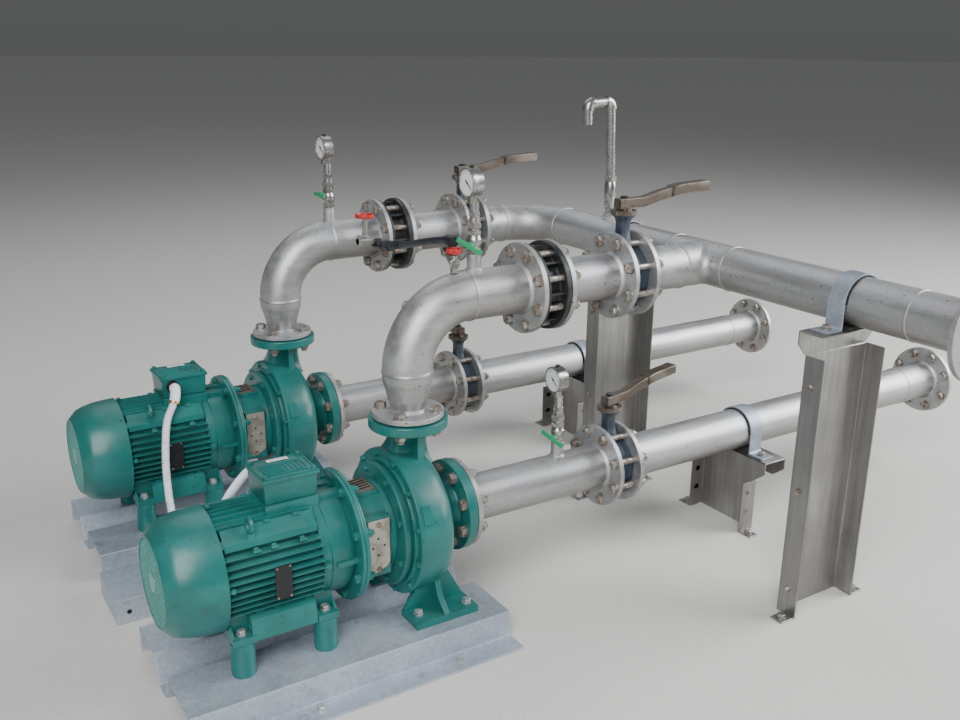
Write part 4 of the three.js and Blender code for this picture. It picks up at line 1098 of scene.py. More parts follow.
def flange(station, step, outer=FLANGE_R, pipe=PIPE_R):
    """Rows of a plate flange, from its face inwards, with the fillet weld at its back."""
    rows = [(0, outer - 1, 0.5), (1, outer, 0), (FLANGE_T - 1, outer, 0),
            (FLANGE_T, outer - 1, 0.5), (FLANGE_T, pipe + 7, 0.65), (FLANGE_T, pipe + 6, 1),
            (FLANGE_T + 3, pipe + 3, 1), (FLANGE_T + 6, pipe + 0.2, 1), (FLANGE_T + 8, pipe, 0.7),
            (FLANGE_T + 16, pipe, 0.45), (FLANGE_T + 48, pipe, 0)]
    return [(station + step * s, r, h) for s, r, h in rows]


def pipe_rows(start, end, start_rows, end_rows, bore=0.0):
    return [(start, bore, 0), *start_rows, *reversed(end_rows), (end, bore, 0)]


def lathe(shape, axis, rows, closed=False, place=None, sides=96):
    return shape.turned(axis, [(s, r) for s, r, _ in rows], place, sides, closed,
        [h for _, _, h in rows])


def socket(shape, x, y=0.0, level=0.0):
    """Welded gauge socket on top of a pipe."""
    place = at(x, y, level)
    rows = [(PIPE_R - 8, 0, 0), (PIPE_R - 8, SOCKET_R + 4, 1), (PIPE_R + 2, SOCKET_R + 4, 1),
            (PIPE_R + 6, SOCKET_R, 1), (PIPE_R + 12, SOCKET_R, 0.4), (SOCKET_TOP - 1, SOCKET_R, 0),
            (SOCKET_TOP, SOCKET_R - 1, 0), (SOCKET_TOP, 0, 0)]
    lathe(shape, "z", rows, place=place, sides=32)


def bead(shape, axis, station, place=None, radius=PIPE_R):
    """Raised weld bead over the joint of two pieces of pipe."""
    rows = [(station + s, radius + rise, 1.0) for s, rise in (
        (-4.6, -0.6), (-3.4, 1.1), (-1.2, 2.0), (0, 1.6), (1.2, 2.0), (3.4, 1.1), (4.6, -0.6))]
    lathe(shape, axis, rows, closed=True, place=place)


def gaskets(name, rings, foot, axis="x"):
    """Black gaskets: (start, end, radius) rings between flanges."""
    form = Form()
    for low, high, radius in rings:
        form.rod(axis, low, high, radius, sides=72)
    return form.piece(name, black_rubber, foot, "black_plastic")


def ring_bolts(name, seat, foot, grip=0.0):
    """Eight bolts on the circle of a DN100 flange, with their heads on its back."""
    bolts(name, around("x", seat, BOLT_CIRCLE, 8, 22.5, face=-1), 16, grip, foot)


for side, shaft in AT_SHAFT.items():
    start, stop = SUCTION_FACE + GASKET, SUCTION_VALVE_X - VALVE_T / 2
    form = lathe(Form(), "x", pipe_rows(start, stop, flange(start, 1), flange(stop, -1)))
    socket(form, GAUGE_X)
    form.spun("z", [
        (-PIPE_R - 18, 12), (-PIPE_R - 17, 13), (-PIPE_R + 8, 13)],
        at(503, 0, 0), sides=32)
    form.piece(f"{side}_suction_spool_pipe", steel_x, shaft, "stainless_pipe",
               replaces=[f"{side}_suction_spool"])
    start, stop = SUCTION_VALVE_X + VALVE_T / 2, SUCTION_END - STUB_LENGTH - SEAM
    ending = [(stop, PIPE_R, 0.8), (stop - 2.5, PIPE_R, 0.8), (stop - 9, PIPE_R, 0.5),
              (stop - 40, PIPE_R, 0)]
    lathe(Form(), "x", pipe_rows(start, stop, flange(start, 1), ending)).piece(
        f"{side}_suction_run", steel_x, shaft, "stainless_pipe", replaces=[f"{side}_suction_pipe"])
    start, stop = SUCTION_END - STUB_LENGTH, SUCTION_END
    opening = [(start, PIPE_R - 0.8, 0.8), (start + 0.8, PIPE_R, 0.9), *weld(start + 3)[2:]]
    lathe(Form(), "x", pipe_rows(start, stop, opening, flange(stop, -1), PIPE_BORE_R),
        closed=True).piece(
        f"{side}_suction_end", steel_x, shaft, "stainless_pipe", replaces=[f"{side}_suction_stub"])
    gaskets(f"{side}_suction_gaskets", [(125.3, 127.7, 104)], shaft)
    ring_bolts(f"{side}_suction_bolts", PUMP_BACK, shaft, PUMP_FLANGE_T + GASKET + FLANGE_T)
    ring_bolts(f"{side}_suction_valve_bolts", SUCTION_VALVE_X - VALVE_T / 2 - FLANGE_T, shaft,
               VALVE_T + 2 * FLANGE_T)
    ring_bolts(f"{side}_suction_end_bolts", SUCTION_END - FLANGE_T, shaft)

# Discharge bends. From each outlet a small plate flange, a concentric reducer and a
# long-radius bend are butt-welded to the short pipe that holds the gauge and meets the check.
BEND_R, REDUCER_R, REDUCER_FLANGE_R = 152.4, 40, 82.5
CHECK_T, DISCHARGE_VALVE_X = 68, 607
DISCHARGE_GAUGE_X = {"near": 174, "far": 160}


def arc(centre, start_arm, end_arm, radius, steps=26):
    angles = [math.pi / 2 * k / steps for k in range(steps + 1)]
    return [Vector(centre) + radius * (
        math.cos(t) * Vector(start_arm) + math.sin(t) * Vector(end_arm)) for t in angles]


def bend_heat(count):
    """Heat tint that fades from both welded ends of a bend."""
    return [max(0.0, 0.55 - 0.14 * min(i, count - 1 - i)) for i in range(count)]


for side, level in AT_PIPE.items():
    start = SHAFT + OUTLET_FACE + GASKET - PIPE_LEVEL
    riser = [(start, 0, 0), (start, REDUCER_FLANGE_R - 1, 0), (start + 1, REDUCER_FLANGE_R, 0),
             (start + 11, REDUCER_FLANGE_R, 0), (start + 12, REDUCER_FLANGE_R - 1, 0),
             (start + 12, REDUCER_R + 6, 1), (start + 15, REDUCER_R + 3, 1),
             (start + 18, REDUCER_R, 1), (start + 22, REDUCER_R + 0.3, 0.5),
             (start + 32, 42.8, 0.15), (start + 52, 48.2, 0.05), (start + 72, 53.6, 0.1),
             (start + 80, 55.8, 0.4), (start + 84, 56.8, 0.6), (-BEND_R, PIPE_R, 0.7),
             (-BEND_R + 0.5, 0, 0)]
    form = lathe(Form(), "z", riser)
    bead(form, "z", -BEND_R - 1)
    bead(form, "x", BEND_R + 1)
    curve = arc((BEND_R, 0, -BEND_R), (-1, 0, 0), (0, 0, 1), BEND_R)
    form.swept(curve, PIPE_R, sides=96, heat=bend_heat(len(curve)))
    run_start = [(BEND_R - 0.5, PIPE_R, 0.7), (BEND_R + 5, PIPE_R, 0.7), (BEND_R + 16, PIPE_R, 0.3),
                 (BEND_R + 30, PIPE_R, 0)]
    lathe(form, "x", pipe_rows(BEND_R - 0.5, CHECK_FACE, run_start, flange(CHECK_FACE, -1)))
    socket(form, DISCHARGE_GAUGE_X[side])
    form.piece(f"{side}_outlet_bend", steel_x, level, "stainless_pipe",
               replaces=[f"{side}_discharge_bend"])
    gaskets(f"{side}_outlet_gasket", [(start - 2.7, start, 62)], level, "z")
    bolts(f"{side}_outlet_bolts", around("z", start + FLANGE_T, 65, 4, 47), 16,
          grip=FLANGE_T + GASKET + OUTLET_FLANGE_T, foot=level)
    low, high = CHECK_FACE + CHECK_T, DISCHARGE_VALVE_X - VALVE_T / 2
    lathe(Form(), "x", pipe_rows(low, high, flange(low, 1), flange(high, -1))).piece(
        f"{side}_short_spool", steel_x, level, "stainless_pipe",
        replaces=[f"{side}_discharge_spool"])
    ring_bolts(f"{side}_check_bolts", CHECK_FACE - FLANGE_T, level, CHECK_T + 2 * FLANGE_T)
    ring_bolts(f"{side}_discharge_valve_bolts", high - FLANGE_T, level, VALVE_T + 2 * FLANGE_T)

# Check valves. Black-coated wafer valves, clamped between two flanges: a full rim at each end,
# a waist with webs between the bolts, and bright bolts bridging it.


def coated(name, color, dusty, roughness):
    return weathered(name, color, dusty, (26, 0.46, 0.74), (roughness, 0.68),
                     relief=((190, 0.3, 0.7), 0.08, 0.0008), Coat_Weight=0.15)


black_coat = coated("black_coat", (0.011, 0.012, 0.013), (0.045, 0.042, 0.038), 0.42)
for side, level in AT_PIPE.items():
    low, high = CHECK_FACE + SEAM, CHECK_FACE + CHECK_T - SEAM
    form = Form().spun("x", [
        (low, 104.5), (low + 1.5, 106), (low + 6.5, 106), (low + 8, 104), (low + 9, 84),
        (low + 12, 80), (high - 18, 80), (high - 15, 84), (high - 14, 104), (high - 12.5, 106),
        (high - 1.5, 106), (high, 104.5)], sides=96)
    for k in range(8):
        form.block((low + 6, -3, 78), (high - 12, 3, 97), about("X", 45 * k))
    form.piece(f"{side}_check_body", black_coat, level, "black_coating",
               replaces=[f"{side}_check_valve"], soften=1.0)

# Butterfly valves. Wafer valves with epoxy-coated bodies between two flanges, a tall neck, a
# notched plate and, on the square stem, a lever pressed from bare steel channel.
LEVER_FOOT = 165
SUCTION_LEVER_TURN = {"near": 12, "far": 90}
valve_blue = coated("valve_blue", (0.022, 0.036, 0.058), (0.06, 0.065, 0.072), 0.46)


def lever_metal():
    made, tree, surface = shader("lever_steel", (0.33, 0.28, 0.24), 0.45, 0.75)
    stain = clouded(tree, 30, 0.36, 0.66, (0.35, 1, 1))
    tone = blended(tree, stain, (0.19, 0.158, 0.13), (0.105, 0.08, 0.062))
    feed(tree, surface, "Base Color", clouded(tree, 80, 0.60, 0.72), tone, (0.09, 0.055, 0.035))
    feed(tree, surface, "Roughness", stain, 0.4, 0.6)
    return made


lever_steel = lever_metal()
LEVER_LINE = [
    (-22, 188.4, 24, 12), (-19, 189, 24, 12), (55, 189, 24, 12), (66, 190.6, 24, 12),
    (82, 194.4, 24, 12), (105, 200, 24, 12), (149, 207, 24, 12), (150, 209.4, 24, 15.4),
    (153, 210.4, 24, 16), (180, 213.9, 24, 16), (268, 216.8, 24, 16), (271, 216.4, 23, 15)]


def lever_shape():
    form = Form()
    rings = []
    for x, top, depth, half in LEVER_LINE:
        inside = half - 2.8
        rings.append([Vector((x, y, z)) for y, z in (
            (-half, top - 2), (-half, top - depth), (-inside, top - depth), (-inside, top - 3),
            (inside, top - 3), (inside, top - depth), (half, top - depth), (half, top - 2),
            (half - 1.6, top), (1.6 - half, top))])
    form.rings([ring[::-1] for ring in rings])
    form.block((-22, -12, 166), (-19.4, 12, 188))
    form.block((-10, -8.8, LEVER_FOOT + SEAM), (10, 8.8, 187))
    return form


def notched_outline():
    outline = []
    for k, angle in enumerate(turns(144)):
        notch = k // 36 % 2 == 0 and 3 <= k % 36 <= 33 and k % 6 in (2, 3)
        r = 28.5 if notch else 32
        outline.append((r * math.cos(angle), r * math.sin(angle)))
    return outline


def boxed(t, power=0.6):
    """Point of a rounded box at an angle: a superellipse of unit reach."""
    return [math.copysign(abs(v) ** power, v) for v in (math.cos(t), math.sin(t))]


for side, foot in FOOT.items():
    for label, x, height, turn in (("suction", SUCTION_VALVE_X, SHAFT, SUCTION_LEVER_TURN[side]),
                                   ("discharge", DISCHARGE_VALVE_X, PIPE_LEVEL, 0)):
        stem_foot = foot + Vector((x, 0, height)) * MM
        half = VALVE_T / 2 - SEAM
        body = Form().spun("x", [
            (-half, 76.5), (-half + 1.5, 78), (-18, 78), (-15, 79.6), (15, 79.6), (18, 78),
            (half - 1.5, 78), (half, 76.5)], sides=88)
        body.rings([[Vector((a * u, b * v, z)) for u, v in map(boxed, turns(36))]
                    for a, b, z in ((20, 34, 68), (20, 31, 80), (16.5, 22, 92), (15, 17, 104),
                                    (15, 16.5, 132), (18, 20, 140), (24, 26, 146),
                                    (28, 28, 149.9))])
        body.piece(f"{side}_{label}_valve_body", valve_blue, stem_foot, "valve_coating",
                   replaces=[f"{side}_{label}_valve"], soften=0.8)
        lay = Matrix.Translation(stem_foot + Vector((0, 0, 155 * MM)))
        holed_plate(f"{side}_{label}_notch_plate", notched_outline(), 10, lever_steel, lay)
        Form().block((-5.5, -5.5, 158), (5.5, 5.5, LEVER_FOOT)).piece(
            f"{side}_{label}_stem", lever_steel, stem_foot, "stainless_lever", soften=0.5)
        bolts(f"{side}_{label}_plate_screws", [((0, y, 160), UP) for y in (-22, 22)], 6,
            foot=stem_foot)
        lever_shape().moved(about("Z", turn)).piece(
            f"{side}_{label}_handle", lever_steel, stem_foot, "stainless_lever",
            body=f"{side}_{label}_lever", replaces=[f"{side}_{label}_lever"], soften=0.6)
        Form().spun("z", [(188.5, 10), (193, 10), (194, 9)], sides=24).piece(
            f"{side}_{label}_stem_cap", black_plastic, stem_foot, "black_plastic",
            body=f"{side}_{label}_lever")

# Header. One run of DN100 pipe collects both lines: a tee at the near branch, a long-radius
# bend at the far one, a boss for the air vent and a flanged end piece.
HEADER_X, HEADER_END, VENT_Y, TEE_ARM = 898, -790, 405, 105
level = AT_PIPE["near"]
stub_start = HEADER_END + STUB_LENGTH
branch = DISCHARGE_VALVE_X + VALVE_T / 2
form = Form()
near_end = [(HEADER_X, PIPE_R, 0), (HEADER_X - TEE_ARM + 30, PIPE_R, 0),
            *weld(HEADER_X - TEE_ARM, -1)[1:8], (HEADER_X - TEE_ARM - 35, PIPE_R, 0)]
bead(form, "x", HEADER_X - TEE_ARM)
lathe(form, "x", pipe_rows(branch, HEADER_X, flange(branch, 1), near_end))
far_start = HEADER_X - BEND_R
far_end = [(far_start + 0.5, PIPE_R, 0.6), (far_start - 9, PIPE_R, 0.6),
           (far_start - 32, PIPE_R, 0)]
bead(form, "x", far_start - 1, at(0, PITCH, 0))
lathe(form, "x", pipe_rows(branch, far_start + 0.5, flange(branch, 1), far_end),
      place=at(0, PITCH, 0))
curve = arc((far_start, PITCH - BEND_R, 0), (0, 1, 0), (1, 0, 0), BEND_R)
form.swept(curve, PIPE_R, sides=96, heat=bend_heat(len(curve)))
run_end = PITCH - BEND_R
rows = [(stub_start + SEAM, 0, 0), (stub_start + SEAM, PIPE_R, 0.8), (stub_start + 9, PIPE_R, 0.5),
        (stub_start + 40, PIPE_R, 0), *weld(-TEE_ARM), *weld(TEE_ARM), (run_end - 40, PIPE_R, 0),
        (run_end - 9, PIPE_R, 0.6), (run_end + 0.5, PIPE_R, 0.6), (run_end + 0.5, 0, 0)]
lathe(form, "y", rows, place=at(HEADER_X, 0, 0))
for station in (-TEE_ARM, TEE_ARM, run_end + 1):
    bead(form, "y", station, at(HEADER_X, 0, 0))
CROTCH_R = 26
for hand in (-1, 1):
    blend = []
    for k in range(33):
        t = math.radians(-88 + 5.5 * k)
        wide, high = PIPE_R * math.cos(t), PIPE_R * math.sin(t)
        r = CROTCH_R * math.cos(t) ** 0.7
        loop = [Vector((HEADER_X - wide + 2, hand * (wide - 2), high))]
        for i in range(9):
            a = math.pi / 2 * i / 8
            loop.append(Vector((HEADER_X - wide - r + r * math.sin(a) + 0.15,
                                hand * (wide + r - r * math.cos(a) - 0.15), high)))
        blend.append(loop if hand > 0 else loop[::-1])
    form.rings(blend)
form.spun("z", [
    (PIPE_R - 8, 21), (PIPE_R + 1, 21), (PIPE_R + 4, 17), (PIPE_R + 13, 17), (PIPE_R + 14, 16)],
    at(HEADER_X, VENT_Y, 0), sides=36)
form.piece("header_pipe", steel_y, level, "stainless_pipe", replaces=["header"])
end_rows = [(stub_start, PIPE_R - 0.8, 0.8), (stub_start - 0.8, PIPE_R, 0.9),
            *weld(stub_start - 3, -1)[3:]]
lathe(Form(), "y", pipe_rows(HEADER_END, stub_start, flange(HEADER_END, 1), end_rows, PIPE_BORE_R),
      closed=True, place=at(HEADER_X, 0, 0)).piece(
    "header_end", steel_y, level, "stainless_pipe", replaces=["header_stub"])

# Low supports. Brushed stainless sheet, folded into a channel on two bolted tabs, with a wide
# flared cap whose flat top carries the suction pipe.
LOW_STAND_X, SADDLE_DROP, STAND_SHEET = 1062, 5, 4


def sheet_metal():
    made, tree, surface = shader("stand_sheet", (0.42, 0.39, 0.35), 0.36, 0.85)
    brush = clouded(tree, 60, 0.3, 0.7, (1, 1, 0.06))
    marks = clouded(tree, 4.5, 0.40, 0.66)
    runs = clouded(tree, 20, 0.5, 0.76, (1, 1, 0.3))
    tone = blended(tree, brush, (0.29, 0.275, 0.26), (0.40, 0.39, 0.38))
    tone = blended(tree, scaled(tree, marks, 0.6), tone, (0.27, 0.25, 0.235))
    feed(tree, surface, "Base Color", scaled(tree, runs, 0.4), tone, (0.50, 0.49, 0.475))
    feed(tree, surface, "Roughness", marks, 0.30, 0.48)
    bumped(tree, surface, brush, 0.06, 0.0005)
    return made


stand_sheet = sheet_metal()
for side, foot in FOOT.items():
    top = SHAFT - PIPE_R - SADDLE_DROP
    front, cap_end, half, wing, channel_top = LOW_STAND_X - 48, LOW_STAND_X + 84, 99, 133, 152
    form = Form().pushed("z", folded([
        (front, -half), (LOW_STAND_X, -half), (LOW_STAND_X, half), (front, half)], STAND_SHEET),
        0, channel_top)
    apron = [(-wing, top), (-wing, top - 34), (5 - half, channel_top - STAND_SHEET),
             (half - 5, channel_top - STAND_SHEET), (wing, top - 34), (wing, top)]
    form.pushed("x", apron, LOW_STAND_X - 0.5, LOW_STAND_X + STAND_SHEET)
    form.pushed("x", apron, cap_end - STAND_SHEET, cap_end)
    form.block((LOW_STAND_X - 0.5, -wing, top - STAND_SHEET), (cap_end, wing, top))
    for hand in (-1, 1):
        form.block((front, hand * 96, 0), (front + 32, hand * 145, STAND_SHEET))
    form.piece(f"{side}_low_stand", stand_sheet, foot, "stainless_sheet",
               replaces=[f"{side}_suction_support"], soften=1.6, sharp=20)
    bolts(f"{side}_low_stand_bolts", [((front + 16, hand * 124, STAND_SHEET), UP)
                                      for hand in (-1, 1)], 12, foot=foot)
    bolts(f"{side}_low_stand_screws", [((front + 24, hand * half, z), (0, hand, 0))
                                       for hand in (-1, 1) for z in (60, 120)], 8, foot=foot)

# Tall supports. The same sheet, folded into two long channels that carry the header on welded
# caps; their open sides face the near end.
CAP_TOP = PIPE_LEVEL - PIPE_R - SADDLE_DROP
STAND_Y = {"front": -438, "middle": 359}
for label, y in STAND_Y.items():
    foot = ORIGIN + Vector((HEADER_X, y, 0)) * MM
    half, web_top, cap_depth = 107, CAP_TOP - 62, 69
    form = Form().pushed("z", folded([
        (-half, -60), (-half, -4), (half, -4), (half, -60)], STAND_SHEET), 0, web_top)
    form.pushed("y", [(-133, CAP_TOP), (-133, CAP_TOP - 33), (-half, web_top - 0.5),
                      (half, web_top - 0.5), (133, CAP_TOP - 33), (133, CAP_TOP)], -4.5, 0)
    form.block((-133, -cap_depth, CAP_TOP - STAND_SHEET), (133, 0, CAP_TOP))
    for hand in (-1, 1):
        form.block((hand * 103, -58, 0), (hand * 150, -22, STAND_SHEET))
    form.piece(f"{label}_tall_stand", stand_sheet, foot, "stainless_sheet",
               replaces=[f"{label}_support"], soften=1.6, sharp=20)
    bolts(f"{label}_tall_stand_bolts", [((hand * 130, -40, STAND_SHEET), UP) for hand in (-1, 1)],
        12, foot=foot)
    bolts(f"{label}_tall_stand_screws", [((hand * half, -30, z), (hand, 0, 0))
                                         for hand in (-1, 1) for z in (70, 330, 590)], 8, foot=foot)

# Straps. Galvanised flat bar bent over each pipe on a black rubber liner, with an ear on each
# side bolted down to the support.
zinc_strap = galvanised("zinc_strap", (0.33, 0.36, 0.42), (0.43, 0.46, 0.52), 0.48)


def half_round(radius):
    return [(radius * math.cos(math.pi * k / 40), radius * math.sin(math.pi * k / 40))
            for k in range(41)]


def strap_outline(inner, outer, reach, foot_level, ear):
    return [(reach, foot_level), (reach, foot_level + ear), (outer + 4, foot_level + ear),
            (outer, foot_level + ear + 4), *half_round(outer), (-outer, foot_level + ear + 4),
            (-outer - 4, foot_level + ear), (-reach, foot_level + ear), (-reach, foot_level),
            (-inner, foot_level), *reversed(half_round(inner)), (inner, foot_level)]


ear_level = -PIPE_R - SADDLE_DROP + SEAM
across_header = about("Z", 90)
STRAP_X, STRAP_BEFORE_FOLD, EAR = 1093, 37, 5
for label, centre, turn in (
        ("near_suction", FOOT["near"] + Vector((STRAP_X, 0, SHAFT)) * MM, Matrix()),
        ("far_suction", FOOT["far"] + Vector((STRAP_X, 0, SHAFT)) * MM, Matrix()),
        ("front", ORIGIN + Vector((
            HEADER_X, STAND_Y["front"] - STRAP_BEFORE_FOLD, PIPE_LEVEL)) * MM, across_header),
        ("middle", ORIGIN + Vector((
            HEADER_X, STAND_Y["middle"] - STRAP_BEFORE_FOLD, PIPE_LEVEL)) * MM, across_header)):
    form = Form().pushed("x", strap_outline(PIPE_R + 3.2, PIPE_R + 7.3, 112, ear_level, EAR),
                         -23, 23, turn)
    form.piece(f"{label}_saddle_strap", zinc_strap, centre, "galvanised_strap",
               replaces=[f"{label}_strap"], soften=1.0, sharp=24)
    liner = Form().pushed("x", [*half_round(PIPE_R + 3.1), *reversed(half_round(PIPE_R + 0.2))],
                          -26, 26, turn)
    liner.pushed("x", [(-58, ear_level), (58, ear_level), (40, ear_level + 5.5),
                       (22, ear_level + 7), (-22, ear_level + 7), (-40, ear_level + 5.5)],
                 -26, 26, turn)
    liner.piece(f"{label}_strap_liner", black_rubber, centre, "black_plastic")
    bolts(f"{label}_strap_bolts", [(turn @ Vector((0, hand * 88, ear_level + EAR)), UP)
                                   for hand in (-1, 1)], 12, foot=centre)

# Gauges and their cocks. On each welded socket stands a stainless ball cock with a union and a
# nipple, and a glycerine gauge whose white dial faces the fans; the cock has a green T handle.
DIAL_R, DIAL_BACK, DIAL_FACE = 33, 8, -22
COCK = {("near", "suction"): (111, 24, 25), ("near", "discharge"): (116, 35, 25),
        ("far", "suction"): (132, 0, 0), ("far", "discharge"): (132, 0, 0)}
DIAL_HEIGHT = {("near", "suction"): 263, ("near", "discharge"): 255,
               ("far", "suction"): 263, ("far", "discharge"): 263}


def moulded(name, color, worn, roughness):
    return weathered(name, color, worn, (45, 0.46, 0.72), (roughness, roughness + 0.25),
                     relief=((240, 0.3, 0.7), 0.05, 0.0005))


fitting_steel = weathered("turned_steel", (0.50, 0.48, 0.46), (0.30, 0.275, 0.25),
                          (50, 0.4, 0.7), (0.24, 0.44), 0.95)
green_moulding = moulded("green_moulding", (0.008, 0.30, 0.11), (0.05, 0.30, 0.16), 0.35)
dial_white = shader("dial_white", (0.83, 0.83, 0.81), 0.35, 0.0, Coat_Weight=0.6,
    Coat_Roughness=0.05)[0]
dial_black = shader("dial_black", (0.01, 0.01, 0.012), 0.4)[0]


def nut(shape, low, high, across, place=None, axis="z"):
    """Hexagon nut with turned chamfers, from its width across flats."""
    r = across / math.sqrt(3)
    return shape.spun(axis, [
        (low, r * 0.9), (low + 1, r), (high - 1, r), (high, r * 0.9)], place, sides=6)


def cock_stack(dial_height, cock_height, facing):
    base = SOCKET_TOP + SEAM
    form = nut(Form(), base, base + 12, 30)
    form.spun("z", [
        (base + 11, 14), (base + 18, 15.5), (base + 21, 17.5), (base + 32, 17.5),
        (base + 35, 15.5), (base + 42, 14)], sides=40)
    nut(form, base + 41, base + 53, 30)
    form.rod("z", base + 52, base + 58, 12, sides=32)
    nut(form, base + 57, base + 70, 31)
    form.spun("z", [
        (base + 69, 13), (base + 77, 13), (base + 78, 10.5), (dial_height - 44, 10.5)], sides=32)
    nut(form, base + 82, base + 94, 24)
    form.block((-16, -8, dial_height - 46), (2, 8, dial_height - 31))
    form.spun("x", [
        (-20, 7), (-14, 8), (0, 8)], at(0, 0, cock_height) @ facing, sides=28)
    return form


for side, foot in FOOT.items():
    for label, x, height in (("suction", GAUGE_X, SHAFT),
                             ("discharge", DISCHARGE_GAUGE_X[side], PIPE_LEVEL)):
        base = foot + Vector((x, 0, height)) * MM
        dial_height = DIAL_HEIGHT[side, label]
        centre = at(0, 0, dial_height)
        cock_height, cock_turn, cock_tilt = COCK[side, label]
        facing = about("Z", cock_turn)
        cock_stack(dial_height, cock_height, facing).piece(
            f"{side}_{label}_cock_stack", fitting_steel, base, "stainless_fitting",
            replaces=[f"{side}_{label}_gauge"], soften=0.4)
        Form().spun("x", [
            (DIAL_BACK, 30), (6, 32.4), (2, 32.6), (-14, 32.6), (-16, DIAL_R), (-21, DIAL_R),
            (DIAL_FACE, 32), (DIAL_FACE, 29.5), (-19, 29)], centre, sides=72).piece(
            f"{side}_{label}_gauge_case", fitting_steel, base, "stainless_fitting")
        Form().rod("x", -18.9, -19.6, 29, centre, sides=64).piece(
            f"{side}_{label}_dial", dial_white, base, "white_plastic")
        marks = Form()
        for k in range(26):
            angle = math.radians(-135 + 270 * k / 25)
            inner = 20 if k % 5 == 0 else 23
            marks.block((-19.9, -0.45, inner), (-19.5, 0.45, 26.5),
                        centre @ Matrix.Rotation(angle, 4, "X"))
        marks.block((-20.4, -1.4, -9), (-19.9, 1.4, 20), centre @ about("X", 128))
        marks.rod("x", -20.6, -19.6, 3, centre, sides=24)
        marks.piece(f"{side}_{label}_dial_marks", dial_black, base, "black_plastic")
        plug = Form().spun("z", [
            (31, 5.5), (36, 5.5), (37.5, 4)], at(-7, 0, dial_height), sides=24)
        plug.piece(f"{side}_{label}_filler_plug", black_plastic, base, "black_plastic")
        swing = at(0, 0, cock_height) @ facing @ about("X", cock_tilt)
        grip = Form().rod("x", -26, -20.3, 9, swing, sides=32)
        wings = [(-33, -4.8), (-31, -6), (-14, -4.6), (0, -6), (14, -4.6), (31, -6), (33, -4.8),
                 (33, 4.8), (31, 6), (14, 4.6), (0, 6), (-14, 4.6), (-31, 6), (-33, 4.8)]
        grip.pushed("x", wings, -31, -25, swing)
        grip.piece(f"{side}_{label}_t_handle", green_moulding, base, "green_plastic",
                   body=f"{side}_{label}_cock", replaces=[f"{side}_{label}_cock"], soften=1.4,
                   sharp=28)

# Air vent. A ball valve on the header's boss, a riser and a gooseneck of small stainless pipe
# with screwed fittings, open downwards.
vent = ORIGIN + Vector((HEADER_X, VENT_Y, PIPE_LEVEL)) * MM
base = PIPE_R + 14.3
VENT_PIPE_R, VENT_FITTING_R, VENT_SPAN, VENT_LEAN, KNEE_R = 13.4, 16, 84, -3.2, 17
form = nut(Form(), base + 18, base + 34, 31)
form.rod("z", base, base + 19, VENT_PIPE_R, sides=32)
form.spun("z", [(base + 33, 14), (base + 44, 17), (base + 84, 17), (base + 95, 14)], sides=40)
nut(form, base + 94, base + 110, 31)
pivot, top = base + 100, base + 318
lean = at(0, 0, pivot) @ about("Y", VENT_LEAN) @ at(0, 0, -pivot)
quarter = [math.pi / 2 * k / 12 for k in range(13)]
first_knee = [Vector((KNEE_R * math.cos(t) - KNEE_R, 0, top - 13 + KNEE_R * math.sin(t)))
              for t in quarter]
last_knee = [Vector((KNEE_R - VENT_SPAN - KNEE_R * math.sin(t), 0, top - 13 + KNEE_R * math.cos(t)))
             for t in quarter]
ends = [Vector((0, 0, pivot)), Vector((-VENT_SPAN, 0, top - 54))]
for route, radius in (
        ([ends[0], first_knee[0]], VENT_PIPE_R), (first_knee, VENT_FITTING_R),
        ([first_knee[-1], last_knee[0]], VENT_PIPE_R), (last_knee, VENT_FITTING_R),
        ([last_knee[-1], ends[1]], VENT_PIPE_R)):
    form.swept([lean @ p for p in route], radius, sides=32)
for knee in (first_knee, last_knee):
    for end_point, inner_point in ((knee[0], knee[1]), (knee[-1], knee[-2])):
        out = (end_point - inner_point).normalized()
        form.swept([lean @ (end_point - 3 * out), lean @ (end_point + 3 * out)], 17.3, sides=32)
form.piece("air_vent", fitting_steel, vent, "stainless_fitting", replaces=["vent_stack"], sharp=40)

# Bypass. A small stop valve with a red wheel at each end, joined by black flexible pipe with
# screwed fittings, from the near discharge bend to the far check valve's outlet side.
FAR_VALVE_Y = PITCH - 99
near_place = at(122, 0, PIPE_LEVEL + 79) @ about("Z", -24)
far_place = at(224, FAR_VALVE_Y, PIPE_LEVEL + 8) @ about("Z", -90)
BONNET_TOP, FAR_STEM = 20, 44
red_moulding = moulded("red_moulding", (0.50, 0.012, 0.012), (0.42, 0.06, 0.05), 0.34)
hose_black = coated("hose_black", (0.004, 0.006, 0.016), (0.008, 0.011, 0.024), 0.55)


def wheel_shape(radius, height, spokes):
    """Moulded handwheel: scalloped rim, thin web with holes between the spokes, hub."""
    form = Form()
    rings = []
    for rise, scale in ((height + 2, 0.94), (height + 3.5, 1.0), (height + 11, 1.0),
                        (height + 12.5, 0.94), (height + 12.5, 0.80), (height + 10, 0.76),
                        (height + 4.5, 0.76), (height + 2, 0.80)):
        ring = []
        for t in turns(96):
            reach = radius * (scale - 0.05 * (1 - math.cos(8 * t)) * (scale > 0.9))
            ring.append(Vector((reach * math.cos(t), reach * math.sin(t), rise)))
        rings.append(ring)
    form.rings(rings, closed=True)
    for k in range(spokes):
        form.block((0, -radius * 0.13, height + 4.5), (radius * 0.8, radius * 0.13, height + 8.5),
                   Matrix.Rotation(2 * math.pi * k / spokes, 4, "Z"))
    form.spun("z", [
        (height + 0.3, 6), (height + 3, 7.5), (height + 11, 7.5), (height + 12, 6)], sides=32)
    return form


